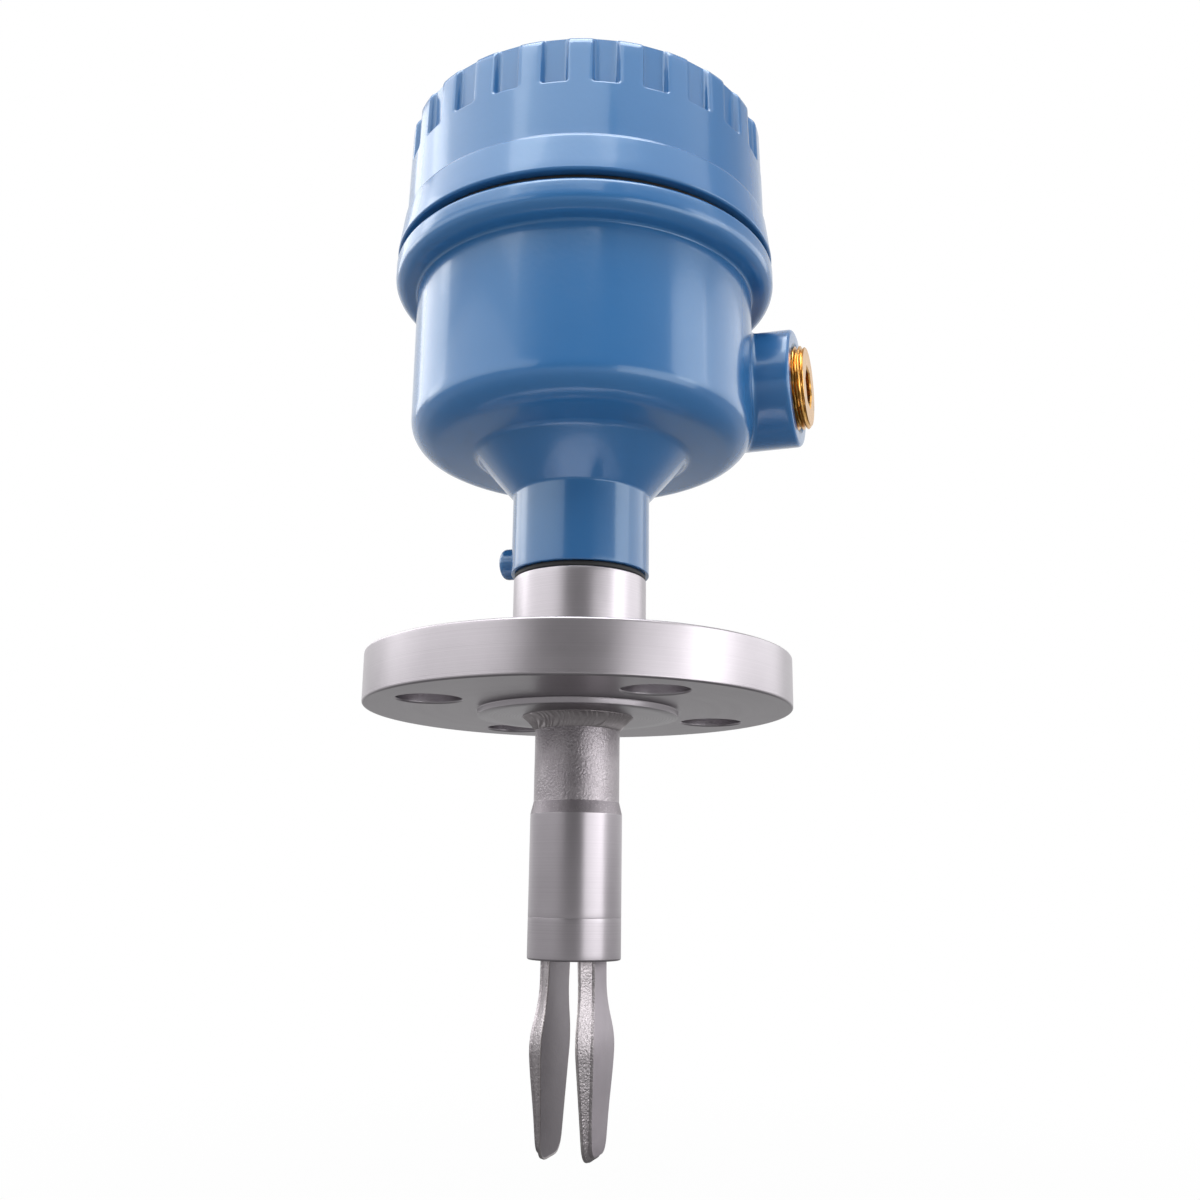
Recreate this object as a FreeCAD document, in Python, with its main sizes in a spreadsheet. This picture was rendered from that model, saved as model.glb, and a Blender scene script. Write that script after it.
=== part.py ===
import FreeCAD, Part
import math
import os
import re

import Sketcher
from FreeCAD import Vector

# A vibrating fork level switch with a raised-face flange and a screw-covered head.
# The origin is the centre of the raised face, +Z points up along the axis of the fork,
# the cable entry points along +X, and every length is in millimetres.

# Driving dimensions. Depths are measured down from the raised face, heights and rises up.
SIZES = {
    # Flange
    "flange_diameter": 108,
    "flange_height": 14.3,
    "flange_edge": 0.8,
    "face_diameter": 50.8,
    "face_height": 1.6,
    "bolt_circle": 79.4,
    "bolt_hole": 15.9,
    "bolt_count": 4,
    "bolt_angle": 45,
    "bolt_edge": 0.5,
    "weld_recess": 28,
    "recess_height": 0.3,
    # Stem, with the turned sleeve at its lower end
    "stem_diameter": 21.3,
    "stem_bore": 17,
    "stem_plain": 21.2,
    "stem_rise": 12,
    "sleeve_diameter": 22.8,
    "sleeve_cone": 3.1,
    "seam_depth": 48.9,
    "weld_leg": 2.85,
    "weld_drop": 3.4,
    "seat_gap": 0.05,
    # Fork: the end of the sleeve, its diaphragm and the two tines
    "sleeve_depth": 58.8,
    "sleeve_edge": 0.8,
    "diaphragm": 1.5,
    "tine_depth": 103.8,
    "tine_back": 7.6,
    "gap_root": 7.1,
    "gap_tip": 10.4,
    "root_width": 14.6,
    "root_back": 9.4,
    "waist_depth": 67,
    "shoulder_depth": 77,
    "shoulder_width": 21,
    "shoulder_back": 17.2,
    "blade_depth": 86,
    "blade_width": 18.4,
    "blade_back": 15.2,
    "tip_width": 13.6,
    "tip_back": 10.6,
    "tine_softness": 0.4,
    # Piezo stack on the diaphragm
    "stud_diameter": 5,
    "stud_length": 19,
    "stack_diameter": 14,
    "stack_bore": 5.6,
    "insulator_height": 1.2,
    "crystal_height": 2,
    "crystal_count": 4,
    "electrode_height": 0.3,
    "spring_diameter": 10,
    "spring_height": 1,
    "nut_flats": 8,
    "nut_height": 4,
    "lead_diameter": 1.2,
    "lead_spacing": 12,
    "seal_bottom": 24,
    "seal_height": 26,
    "plugin_diameter": 10,
    "plugin_length": 12,
    # Collar, and the spigot on which the head turns
    "collar_diameter": 34.3,
    "collar_height": 21.2,
    "collar_edge": 0.4,
    "spigot_length": 21.5,
    "running_gap": 0.08,
    "ring_section": 2.6,
    "ring_groove": 2.9,
    "ring_rise": 11,
    "clip_height": 1.2,
    "clip_depth": 1,
    "clip_diameter": 30.4,
    "screw_groove": 1.3,
    "neck_seal_height": 1.4,
    "neck_seal_diameter": 34,
    "neck_seal_bore": 29,
    # Housing
    "neck_bore": 28,
    "neck_bore_length": 16.6,
    "neck_diameter": 35.8,
    "neck_height": 20.9,
    "neck_edge": 0.8,
    "neck_root": 1.2,
    "cone_diameter": 56.2,
    "cone_rise": 11.5,
    "cone_root": 3,
    "bowl_diameter": 90.8,
    "bowl_rise": 0.7,
    "bowl_round": 7.5,
    "wall_height": 43.5,
    "wall_thickness": 4,
    "floor_thickness": 4,
    "floor_corner": 2,
    "clip_bore": 31,
    "rim_diameter": 102.6,
    "rim_height": 7.8,
    "rim_under_round": 3.4,
    "rim_top_round": 1.6,
    "rim_root": 0.8,
    "cover_thread": 86,
    "cover_thread_depth": 14,
    "boss_diameter": 31.7,
    "boss_draft": 1.5,
    "boss_reach": 55,
    "boss_edge": 1,
    "boss_root": 1.5,
    "entry_rise": 20.7,
    "entry_side": 19,
    "entry_thread": 22.5,
    "entry_mouth": 1,
    "screw_boss_diameter": 8.6,
    "screw_boss_reach": 21.6,
    "screw_boss_round": 1.4,
    "screw_rise": 4.6,
    "set_screw_diameter": 5,
    "set_screw_length": 8,
    "set_screw_point": 1.2,
    "set_screw_flats": 2.5,
    # Cover
    "cover_gap": 1.9,
    "cover_height": 39,
    "cover_roof": 4,
    "cover_round": 3,
    "cover_bore": 88,
    "cover_turn": 9.15,
    "lip_diameter": 102.4,
    "lip_edge": 0.6,
    "step_rise": 10,
    "step_diameter": 99.6,
    "step_run": 0.7,
    "side_diameter": 98.4,
    "top_diameter": 97,
    "skirt_gap": 0.1,
    "skirt_wall": 2.9,
    "skirt_length": 13.2,
    "skirt_shoulder": 4,
    "lug_count": 24,
    "pocket_rise": 25.8,
    "pocket_depth": 1.7,
    "pocket_width": 6.3,
    "cover_ring_bore": 90,
    "cover_ring_diameter": 97.8,
    "cover_ring_round": 0.6,
    # Blanking plug
    "thread_gap": 0.05,
    "plug_length": 16,
    "plug_proud": 3,
    "plug_pitch": 1.41,
    "plug_groove": 0.9,
    "plug_edge": 0.6,
    "socket_flats": 10,
    "socket_depth": 7,
    "tape_wall": 0.3,
    "tape_length": 7,
    "tape_inset": 2,
    # Electronics cassette
    "cassette_diameter": 78,
    "cassette_flat": 18,
    "cassette_height": 26,
    "cassette_wall": 2,
    "cassette_lid": 3,
    "socket_wall": 2,
    "socket_height": 9,
    "board_rise": 14,
    "board_height": 1.6,
    "board_gap": 0.4,
    "pillar_diameter": 6,
    "pillar_spacing": 60,
    "pillar_offset": 14,
    "cassette_screw": 3,
    "screw_clearance": 0.3,
    "screw_head": 5.6,
    "screw_head_height": 2,
    "screw_bite": 2.5,
    "relay_length": 20,
    "relay_width": 12,
    "relay_height": 8,
    # Terminals and settings on the cassette
    "terminal_count": 5,
    "terminal_pitch": 8,
    "terminal_width": 12,
    "terminal_height": 10,
    "terminal_place": 17,
    "terminal_screw": 4,
    "terminal_screw_depth": 5,
    "terminal_slot": 0.8,
    "cage_width": 5,
    "cage_height": 4.6,
    "cage_wall": 0.8,
    "dial_diameter": 9,
    "dial_height": 3,
    "dial_stem": 4,
    "dial_place": 12,
    "dial_slot": 1.2,
    "lamp_diameter": 4,
    "lamp_proud": 1.5,
    "label_height": 0.3,
    "label_length": 12,
    "label_width": 18,
    # Earth terminal on the floor of the housing
    "earth_reach": 26,
    "earth_side": -19,
    "earth_screw": 4,
    "earth_head": 7,
    "earth_head_height": 2.6,
    "earth_bite": 2.5,
    "clamp_width": 8,
    "clamp_height": 1.4,
}

# Heights worked out from the driving dimensions, as expressions on the sheet.
COLLAR_TOP = "(flange_height + collar_height)"
NECK_BOTTOM = f"({COLLAR_TOP} + neck_seal_height)"
CLIP_SEAT = f"({NECK_BOTTOM} + neck_bore_length)"
SPIGOT_TOP = f"({COLLAR_TOP} + spigot_length)"
SCREW_HEIGHT = f"({NECK_BOTTOM} + screw_rise)"
NECK_TOP = f"({NECK_BOTTOM} + neck_height)"
CONE_TOP = f"({NECK_TOP} + cone_rise)"
BOWL_BOTTOM = f"({CONE_TOP} + bowl_rise)"
FLOOR = f"({BOWL_BOTTOM} + floor_thickness)"
ENTRY_HEIGHT = f"({BOWL_BOTTOM} + entry_rise)"
RIM_BOTTOM = f"({BOWL_BOTTOM} + wall_height)"
RIM_TOP = f"({RIM_BOTTOM} + rim_height)"
COVER_BOTTOM = f"({RIM_TOP} + cover_gap)"
COVER_TOP = f"({COVER_BOTTOM} + cover_height)"
LID_BOTTOM = f"({FLOOR} + cassette_height)"
LID_TOP = f"({LID_BOTTOM} + cassette_lid)"
DIAPHRAGM_TOP = "(diaphragm - sleeve_depth)"
STACK_TOP = (
    f"({DIAPHRAGM_TOP} + 2 * insulator_height + crystal_count * crystal_height"
    " + (crystal_count + 1) * electrode_height)"
)
CAVITY_RADIUS = "(bowl_diameter / 2 - wall_thickness)"
SPIGOT_RADIUS = "(neck_bore / 2 - running_gap)"
ENTRY_RADIUS = "(entry_thread / 2 + thread_gap)"
POCKET_FLOOR = "(top_diameter / 2 - pocket_depth)"

# Room that a cutting tool keeps past the face it runs out of.
RUN_OUT = "1"

doc = FreeCAD.newDocument("fork_level_switch")
sheet = doc.addObject("Spreadsheet::Sheet", "sizes")
for row, (alias, size) in enumerate(SIZES.items(), start=1):
    sheet.set(f"A{row}", alias)
    sheet.set(f"B{row}", str(size))
    sheet.setAlias(f"B{row}", alias)
doc.recompute()


def on_sheet(expression):
    """The expression with each size's name turned into its cell on the sheet."""
    return re.sub(r"[a-z]\w*", lambda word: "sizes." + word.group() if word.group() in SIZES
                  else word.group(), str(expression))


def number(expression):
    """The value of an expression on the sheet."""
    return float(sheet.evalExpression(on_sheet(expression)))


def bind(thing, **properties):
    """Tie properties to expressions; a double underscore stands for the dot in a name."""
    for name, expression in properties.items():
        thing.setExpression(name.replace("__", "."), on_sheet(expression))


def place(thing, along_x="0", along_y="0", height="0", turn=None, axis=Vector(0, 0, 1)):
    """Put a sub-part at a place given by expressions, turned about an axis by an angle."""
    angle = number(turn) if turn else 0
    thing.Placement = FreeCAD.Placement(Vector(), FreeCAD.Rotation(axis, angle))
    bind(thing, Placement__Base__x=along_x, Placement__Base__y=along_y, Placement__Base__z=height)
    if turn:
        bind(thing, Placement__Rotation__Angle=turn)
    return thing


def new_body(name):
    body = doc.addObject("PartDesign::Body", name)
    body.Label = name
    return body


def new_sketch(body, name, plane):
    """An empty sketch on one of the body's own three planes."""
    sketch = body.newObject("Sketcher::SketchObject", name)
    role = plane + "_Plane"
    carrier = [feature for feature in body.Origin.OriginFeatures if feature.Role == role][0]
    sketch.AttachmentSupport = (carrier, [""])
    sketch.MapMode = "FlatFace"
    return sketch


def pin_point(sketch, geometry, point, across, up):
    """Hold a point of the sketch at two distances from its origin."""
    for kind, expression in (("DistanceX", across), ("DistanceY", up)):
        rule = Sketcher.Constraint(kind, -1, 1, geometry, point, number(expression))
        index = sketch.addConstraint(rule)
        sketch.setExpression(f"Constraints[{index}]", on_sheet(expression))


def outline(body, name, plane, points):
    """A closed outline of straight edges, each corner given by two expressions."""
    sketch = new_sketch(body, name, plane)
    corners = [Vector(number(across), number(up), 0) for across, up in points]
    count = len(corners)
    for k in range(count):
        sketch.addGeometry(Part.LineSegment(corners[k], corners[(k + 1) % count]), False)
    for k in range(count):
        sketch.addConstraint(Sketcher.Constraint("Coincident", k, 2, (k + 1) % count, 1))
    for k, (across, up) in enumerate(points):
        pin_point(sketch, k, 1, across, up)
    return sketch


def rings(body, name, plane, radii, across="0", up="0"):
    """Circles round one centre, each radius given by an expression."""
    sketch = new_sketch(body, name, plane)
    centre = Vector(number(across), number(up), 0)
    for k, radius in enumerate(radii):
        sketch.addGeometry(Part.Circle(centre, Vector(0, 0, 1), number(radius)), False)
        pin_point(sketch, k, 3, across, up)
        index = sketch.addConstraint(Sketcher.Constraint("Radius", k, number(radius)))
        sketch.setExpression(f"Constraints[{index}]", on_sheet(radius))
    return sketch


def revolve(body, points, name="turned"):
    """Turn an outline of (radius, height) corners about the body's Z axis."""
    sketch = outline(body, name + "_outline", "XZ", points)
    feature = body.newObject("PartDesign::Revolution", name)
    feature.Profile = sketch
    feature.ReferenceAxis = (sketch, ["V_Axis"])
    feature.Angle = 360
    doc.recompute()
    return feature


def groove(body, points, name):
    """Turn an outline about the body's Z axis and take it away."""
    before = body.Shape.Volume
    sketch = outline(body, name + "_outline", "XZ", points)
    feature = body.newObject("PartDesign::Groove", name)
    feature.Profile = sketch
    feature.ReferenceAxis = (sketch, ["V_Axis"])
    feature.Angle = 360
    doc.recompute()
    must_shrink(body, before, name)
    return feature


def pad(body, sketch, length, backwards=False):
    feature = body.newObject("PartDesign::Pad", sketch.Name + "_pad")
    feature.Profile = sketch
    feature.Reversed = backwards
    bind(feature, Length=length)
    doc.recompute()
    return feature


def pocket(body, sketch, length=None, side="One side", backwards=False):
    """Cut the sketch away, right through where no length is given."""
    before = body.Shape.Volume
    feature = body.newObject("PartDesign::Pocket", sketch.Name + "_pocket")
    feature.Profile = sketch
    feature.SideType = side
    feature.Reversed = backwards
    if length:
        bind(feature, Length=length)
    else:
        feature.Type = "ThroughAll"
    doc.recompute()
    must_shrink(body, before, sketch.Name)
    return feature


def must_shrink(body, before, name):
    if body.Shape.Volume >= before:
        raise ValueError(f"{name} cuts nothing from {body.Label}")


def round_pattern(body, feature, count):
    """Repeat a feature evenly round the body's Z axis."""
    before = body.Shape.Volume
    pattern = body.newObject("PartDesign::PolarPattern", feature.Name + "_ring")
    pattern.Originals = [feature]
    axis = [item for item in body.Origin.OriginFeatures if item.Role == "Z_Axis"][0]
    pattern.Axis = (axis, [""])
    pattern.Angle = 360
    bind(pattern, Occurrences=count)
    body.Tip = pattern
    doc.recompute()
    if body.Shape.Volume == before:
        raise ValueError(f"{feature.Name} is not repeated in {body.Label}")
    return pattern


def row_pattern(body, feature, role, length, count):
    """Repeat a feature along one of the body's own axes, over a length."""
    pattern = body.newObject("PartDesign::LinearPattern", feature.Name + "_row")
    pattern.Originals = [feature]
    axis = [item for item in body.Origin.OriginFeatures if item.Role == role + "_Axis"][0]
    pattern.Direction = (axis, [""])
    bind(pattern, Length=length, Occurrences=count)
    body.Tip = pattern
    doc.recompute()
    return pattern


def is_ring(edge, radius, height):
    """Is this a circle of the given radius and height about the Z axis?"""
    curve = edge.Curve
    if not isinstance(curve, Part.Circle):
        return False
    near_axis = math.hypot(curve.Center.x, curve.Center.y) < 1e-4
    return near_axis and abs(curve.Radius - radius) < 1e-3 and abs(curve.Center.z - height) < 1e-3


def ring_edges(body, places):
    """Names of the edges at these (radius, height) pairs of expressions."""
    names = []
    for radius, height in places:
        found = [f"Edge{k}" for k, edge in enumerate(body.Shape.Edges, start=1)
                 if is_ring(edge, number(radius), number(height))]
        if not found:
            raise ValueError(f"no edge at {radius}, {height} on {body.Label}")
        names += found
    return names


def dress(body, kind, edges, size, name):
    """Round or bevel the named edges; kind is Fillet or Chamfer."""
    base = body.Tip
    feature = body.newObject("PartDesign::" + kind, name)
    feature.Base = (base, edges)
    if kind == "Fillet":
        bind(feature, Radius=size)
    else:
        bind(feature, Size=size)
    body.Tip = feature
    doc.recompute()
    if not feature.Shape.isValid() or "Invalid" in feature.State:
        raise ValueError(f"{name} does not build on {body.Label}")
    return feature


def cylinder(name, radius, height, along_x="0", along_y="0", base="0", axis=None):
    """A plain cylinder; axis turns its Z axis to point another way."""
    solid = doc.addObject("Part::Cylinder", name)
    bind(solid, Radius=radius, Height=height)
    place(solid, along_x, along_y, base)
    if axis:
        solid.Placement.Rotation = FreeCAD.Rotation(Vector(0, 0, 1), axis)
    return solid


def block(name, length, width, height, corner):
    """A plain box from its lowest corner, which is three expressions."""
    solid = doc.addObject("Part::Box", name)
    bind(solid, Length=length, Width=width, Height=height)
    return place(solid, *corner)


def join(name, pieces):
    whole = doc.addObject("Part::MultiFuse", name)
    whole.Shapes = pieces
    whole.Label = name
    doc.recompute()
    return whole


def cut(name, base, tools):
    """The base with every tool taken away."""
    tool = tools[0] if len(tools) == 1 else join(name + "_tools", tools)
    result = doc.addObject("Part::Cut", name)
    result.Base = base
    result.Tool = tool
    result.Label = name
    doc.recompute()
    return result


def flat_sided(name, radius, flat, height, base):
    """A cylinder cut off by a flat at a distance from its axis towards +X."""
    drum = cylinder(name + "_drum", radius, height, base=base)
    keep = block(name + "_keep", f"{radius} + {flat}", f"2 * {radius}", height,
                 (f"-({radius})", f"-({radius})", base))
    result = doc.addObject("Part::Common", name)
    result.Base = drum
    result.Tool = keep
    result.Label = name
    doc.recompute()
    return result


def hexagon(body, name, plane, flats):
    """A six-sided outline, given its distance across flats."""
    corner = f"({flats}) / sqrt(3)"
    points = [(f"{corner} * cos({60 * k} deg)", f"{corner} * sin({60 * k} deg)")
              for k in range(6)]
    return outline(body, name, plane, points)


def flange():
    """The raised-face flange, bored for the stem, recessed for its weld and drilled for its bolts."""
    body = new_body("flange")
    bore = "(stem_diameter / 2 + seat_gap)"
    face = "face_diameter / 2"
    rim = "flange_diameter / 2"
    recess = "weld_recess / 2"
    revolve(body, [(bore, "recess_height"), (recess, "recess_height"), (recess, "0"), (face, "0"),
                   (face, "face_height"), (rim, "face_height"), (rim, "flange_height"),
                   (bore, "flange_height")])
    dress(body, "Chamfer", ring_edges(body, [(rim, "face_height"), (rim, "flange_height")]),
          "flange_edge", "rim_bevels")
    hole = rings(body, "bolt_hole_outline", "XY", ["bolt_hole / 2"],
                 "bolt_circle / 2 * cos(bolt_angle * 1 deg)",
                 "bolt_circle / 2 * sin(bolt_angle * 1 deg)")
    drilled = pocket(body, hole, backwards=True)
    round_pattern(body, drilled, "bolt_count")
    radius = number("bolt_hole / 2")
    mouths = [f"Edge{k}" for k, edge in enumerate(body.Shape.Edges, start=1)
              if isinstance(edge.Curve, Part.Circle) and abs(edge.Curve.Radius - radius) < 1e-4
              and abs(math.hypot(edge.Curve.Center.x, edge.Curve.Center.y)
                      - number("bolt_circle / 2")) < 1e-3]
    dress(body, "Chamfer", mouths, "bolt_edge", "hole_bevels")
    return body


def stem():
    """The tube through the flange, turned to a sleeve at its lower end."""
    body = new_body("stem")
    bore = "stem_bore / 2"
    plain = "stem_diameter / 2"
    sleeve = "sleeve_diameter / 2"
    revolve(body, [(bore, "-seam_depth"), (sleeve, "-seam_depth"),
                   (sleeve, "-stem_plain - sleeve_cone"), (plain, "-stem_plain"),
                   (plain, "flange_height + stem_rise"), (bore, "flange_height + stem_rise")])
    return body


def weld_bead():
    """The fillet weld in the recess of the raised face, round the stem."""
    body = new_body("weld_bead")
    inner = "stem_diameter / 2"
    outer = "(stem_diameter / 2 + weld_leg)"
    revolve(body, [(inner, "recess_height"), (inner, "-weld_drop"),
                   (f"{inner} + 0.15 * weld_leg", "-0.86 * weld_drop"),
                   (f"{inner} + 0.42 * weld_leg", "-0.42 * weld_drop"),
                   (f"{inner} + 0.82 * weld_leg", "-0.14 * weld_drop"), (outer, "0"),
                   (outer, "recess_height")])
    return body


def rounded(corners, share):
    """The corners with every inner one softened over a share of the edges beside it."""
    points = [corners[0]]
    for before, corner, after in zip(corners, corners[1:], corners[2:]):
        for step in range(5):
            back = f"{share} * {(1 - step / 4) ** 2}"
            ahead = f"{share} * {(step / 4) ** 2}"
            points.append(tuple(
                f"({back} * {before[k]} + {ahead} * {after[k]} + (1 - {back} - {ahead}) * {corner[k]})"
                for k in range(2)))
    return points + [corners[-1]]


def tine_outline(body, name, widths, distance):
    """The broad face of a tine from root to tip, at a distance from the body's YZ plane."""
    depths = ["(sleeve_depth - diaphragm / 2)", "waist_depth", "shoulder_depth", "blade_depth",
              "tine_depth"]
    side = [(f"({width} / 2)", f"(-{depth})") for width, depth in zip(widths, depths)]
    side = rounded(side + [("0", "(-tine_depth)")], "tine_softness")[:-1]
    other = [(f"-{across}", up) for across, up in side]
    sketch = outline(body, name, "YZ", side + other[::-1])
    sketch.setExpression("AttachmentOffset.Base.z", on_sheet(distance))
    return sketch


def tine():
    """One tine: wide towards the gap, narrower at its back, and thinner towards the tip."""
    body = new_body("tine")
    front = tine_outline(body, "front", ["root_width", "root_width", "shoulder_width",
                                         "blade_width", "tip_width"], "gap_root / 2")
    back = tine_outline(body, "back", ["root_back", "root_back", "shoulder_back",
                                       "blade_back", "tip_back"], "tine_back")
    loft = body.newObject("PartDesign::AdditiveLoft", "blade")
    loft.Profile = front
    loft.Sections = [back]
    loft.Ruled = True
    doc.recompute()
    root = "-(sleeve_depth - diaphragm)"
    tip = "-(tine_depth + diaphragm)"
    slope = "(gap_tip - gap_root) / (2 * (tine_depth - sleeve_depth))"
    wedge = outline(body, "gap_wedge", "XZ", [
        ("0", root), (f"gap_root / 2 - diaphragm * {slope}", root),
        (f"gap_tip / 2 + diaphragm * {slope}", tip), ("0", tip)])
    pocket(body, wedge, "2 * shoulder_width", side="Symmetric")
    return body


def fork():
    """The end of the sleeve, closed by the diaphragm, and the two tines that stand on it."""
    body = new_body("fork_end")
    bore = "stem_bore / 2"
    sleeve = "sleeve_diameter / 2"
    revolve(body, [("0", "-sleeve_depth"), (sleeve, "-sleeve_depth"), (sleeve, "-seam_depth"),
                   (bore, "-seam_depth"), (bore, DIAPHRAGM_TOP), ("0", DIAPHRAGM_TOP)])
    dress(body, "Fillet", ring_edges(body, [(sleeve, "-sleeve_depth")]), "sleeve_edge", "edge")
    first = tine()
    second = doc.addObject("Part::Mirroring", "second_tine")
    second.Source = first
    second.Normal = Vector(1, 0, 0)
    return join("fork", [body, first, second])


def piezo_stack():
    """The crystals that shake the diaphragm, clamped on a stud between two insulators."""
    bore = "stack_bore / 2"
    rim = "stack_diameter / 2"
    stud = new_body("stack_stud")
    revolve(stud, [("0", DIAPHRAGM_TOP), ("stud_diameter / 2", DIAPHRAGM_TOP),
                   ("stud_diameter / 2", f"{DIAPHRAGM_TOP} + stud_length"),
                   ("0", f"{DIAPHRAGM_TOP} + stud_length")])
    electrode_pitch = "(crystal_height + electrode_height)"
    first_electrode = f"({DIAPHRAGM_TOP} + insulator_height)"
    layers = [
        ("stack_insulators", DIAPHRAGM_TOP, "insulator_height",
         f"{STACK_TOP} - {DIAPHRAGM_TOP} - insulator_height", "2"),
        ("stack_electrodes", first_electrode, "electrode_height",
         f"crystal_count * {electrode_pitch}", "crystal_count + 1"),
        ("stack_crystals", f"({first_electrode} + electrode_height)", "crystal_height",
         f"(crystal_count - 1) * {electrode_pitch}", "crystal_count"),
    ]
    stack = [stud]
    for name, base, height, length, count in layers:
        body = new_body(name)
        disc = pad(body, rings(body, name + "_outline", "XY", [rim, bore]), height)
        row_pattern(body, disc, "Z", length, count)
        stack.append(place(body, height=base))
    spring = new_body("stack_spring")
    spring_rim = "spring_diameter / 2"
    revolve(spring, [(bore, "0"), (spring_rim, "0.3 * spring_height"),
                     (spring_rim, "0.7 * spring_height"), (bore, "spring_height")])
    stack.append(place(spring, height=STACK_TOP))
    nut = new_body("stack_nut")
    pad(nut, hexagon(nut, "nut_outline", "XY", "nut_flats"), "nut_height")
    pocket(nut, rings(nut, "nut_bore", "XY", ["stud_diameter / 2 + seat_gap"]), backwards=True)
    stack.append(place(nut, height=f"{STACK_TOP} + spring_height"))
    return stack


def sensor_wiring():
    """The leads up the stem, the seal they pass through and the plug on their end."""
    seal = new_body("stem_seal")
    revolve(seal, [("0", "0"), ("stem_bore / 2", "0"), ("stem_bore / 2", "seal_height"),
                   ("0", "seal_height")])
    for side, sign in (("near", ""), ("far", "-")):
        hole = rings(seal, side + "_lead_hole", "XY", ["lead_diameter / 2"],
                     up=f"{sign}(lead_spacing / 2)")
        pocket(seal, hole, backwards=True)
    place(seal, height="seal_bottom")
    plugin_bottom = f"({FLOOR} + socket_height - socket_wall - plugin_length)"
    leads = new_body("sensor_leads")
    for side, sign in (("near", ""), ("far", "-")):
        section = rings(leads, side + "_lead", "XY", ["lead_diameter / 2"],
                        up=f"{sign}(lead_spacing / 2)")
        pad(leads, section, f"{plugin_bottom} - {STACK_TOP}")
    place(leads, height=STACK_TOP)
    plugin = new_body("lead_plug")
    rim = "(lead_spacing / 2 + lead_diameter)"
    neck = "plugin_length / 2"
    revolve(plugin, [("0", "0"), (rim, "0"), (rim, f"{neck} - 1"),
                     ("plugin_diameter / 2", f"{neck} - 1"),
                     ("plugin_diameter / 2", "plugin_length"), ("0", "plugin_length")])
    place(plugin, height=plugin_bottom)
    return [seal, leads, plugin]


def collar():
    """The collar on the flange, with the grooved spigot that the head turns on."""
    body = new_body("collar")
    bore = "stem_bore / 2"
    seat = "(stem_diameter / 2 + seat_gap)"
    rim = "collar_diameter / 2"
    step = "(flange_height + stem_rise + seat_gap)"
    revolve(body, [(seat, "flange_height"), (rim, "flange_height"), (rim, COLLAR_TOP),
                   (SPIGOT_RADIUS, COLLAR_TOP), (SPIGOT_RADIUS, SPIGOT_TOP),
                   (bore, SPIGOT_TOP), (bore, step), (seat, step)])
    dress(body, "Chamfer", ring_edges(body, [(SPIGOT_RADIUS, SPIGOT_TOP)]),
          "collar_edge", "spigot_bevel")
    edge = f"({SPIGOT_RADIUS} + {RUN_OUT})"
    screw_room = "(set_screw_diameter / 2 + 0.5)"
    grooves = [
        ("screw_groove", f"{SCREW_HEIGHT} - {screw_room}", f"{SCREW_HEIGHT} + {screw_room}",
         "screw_groove"),
        ("ring_groove", f"{COLLAR_TOP} + ring_rise", f"{COLLAR_TOP} + ring_rise + ring_groove",
         "(ring_section - running_gap)"),
        ("clip_groove", f"{CLIP_SEAT} + seat_gap", f"{CLIP_SEAT} + 2 * seat_gap + clip_height",
         "clip_depth"),
    ]
    for name, low, high, depth in grooves:
        floor = f"{SPIGOT_RADIUS} - {depth}"
        groove(body, [(floor, low), (edge, low), (edge, high), (floor, high)], name + "_cut")
    return body


def collar_rings():
    """The seal under the neck, the seal ring on the spigot and the clip that keeps the head on."""
    seal = new_body("neck_seal")
    pad(seal, rings(seal, "seal_outline", "XY", ["neck_seal_diameter / 2", "neck_seal_bore / 2"]),
        "neck_seal_height")
    place(seal, height=COLLAR_TOP)
    ring = doc.addObject("Part::Torus", "spigot_ring")
    ring.Label = "spigot_ring"
    bind(ring, Radius1=f"{SPIGOT_RADIUS} + running_gap - ring_section / 2 - seat_gap",
         Radius2="ring_section / 2 - seat_gap")
    place(ring, height=f"{COLLAR_TOP} + ring_rise + ring_groove / 2")
    clip = new_body("retaining_clip")
    inner = f"({SPIGOT_RADIUS} - clip_depth + seat_gap)"
    pad(clip, rings(clip, "clip_outline", "XY", ["clip_diameter / 2", inner]), "clip_height")
    opening = outline(clip, "clip_opening", "XY", [
        ("0", "-clip_height"), ("clip_diameter", "-clip_height"),
        ("clip_diameter", "clip_height"), ("0", "clip_height")])
    pocket(clip, opening, backwards=True)
    place(clip, height=f"{CLIP_SEAT} + 1.5 * seat_gap")
    return [seal, ring, clip]


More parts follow.
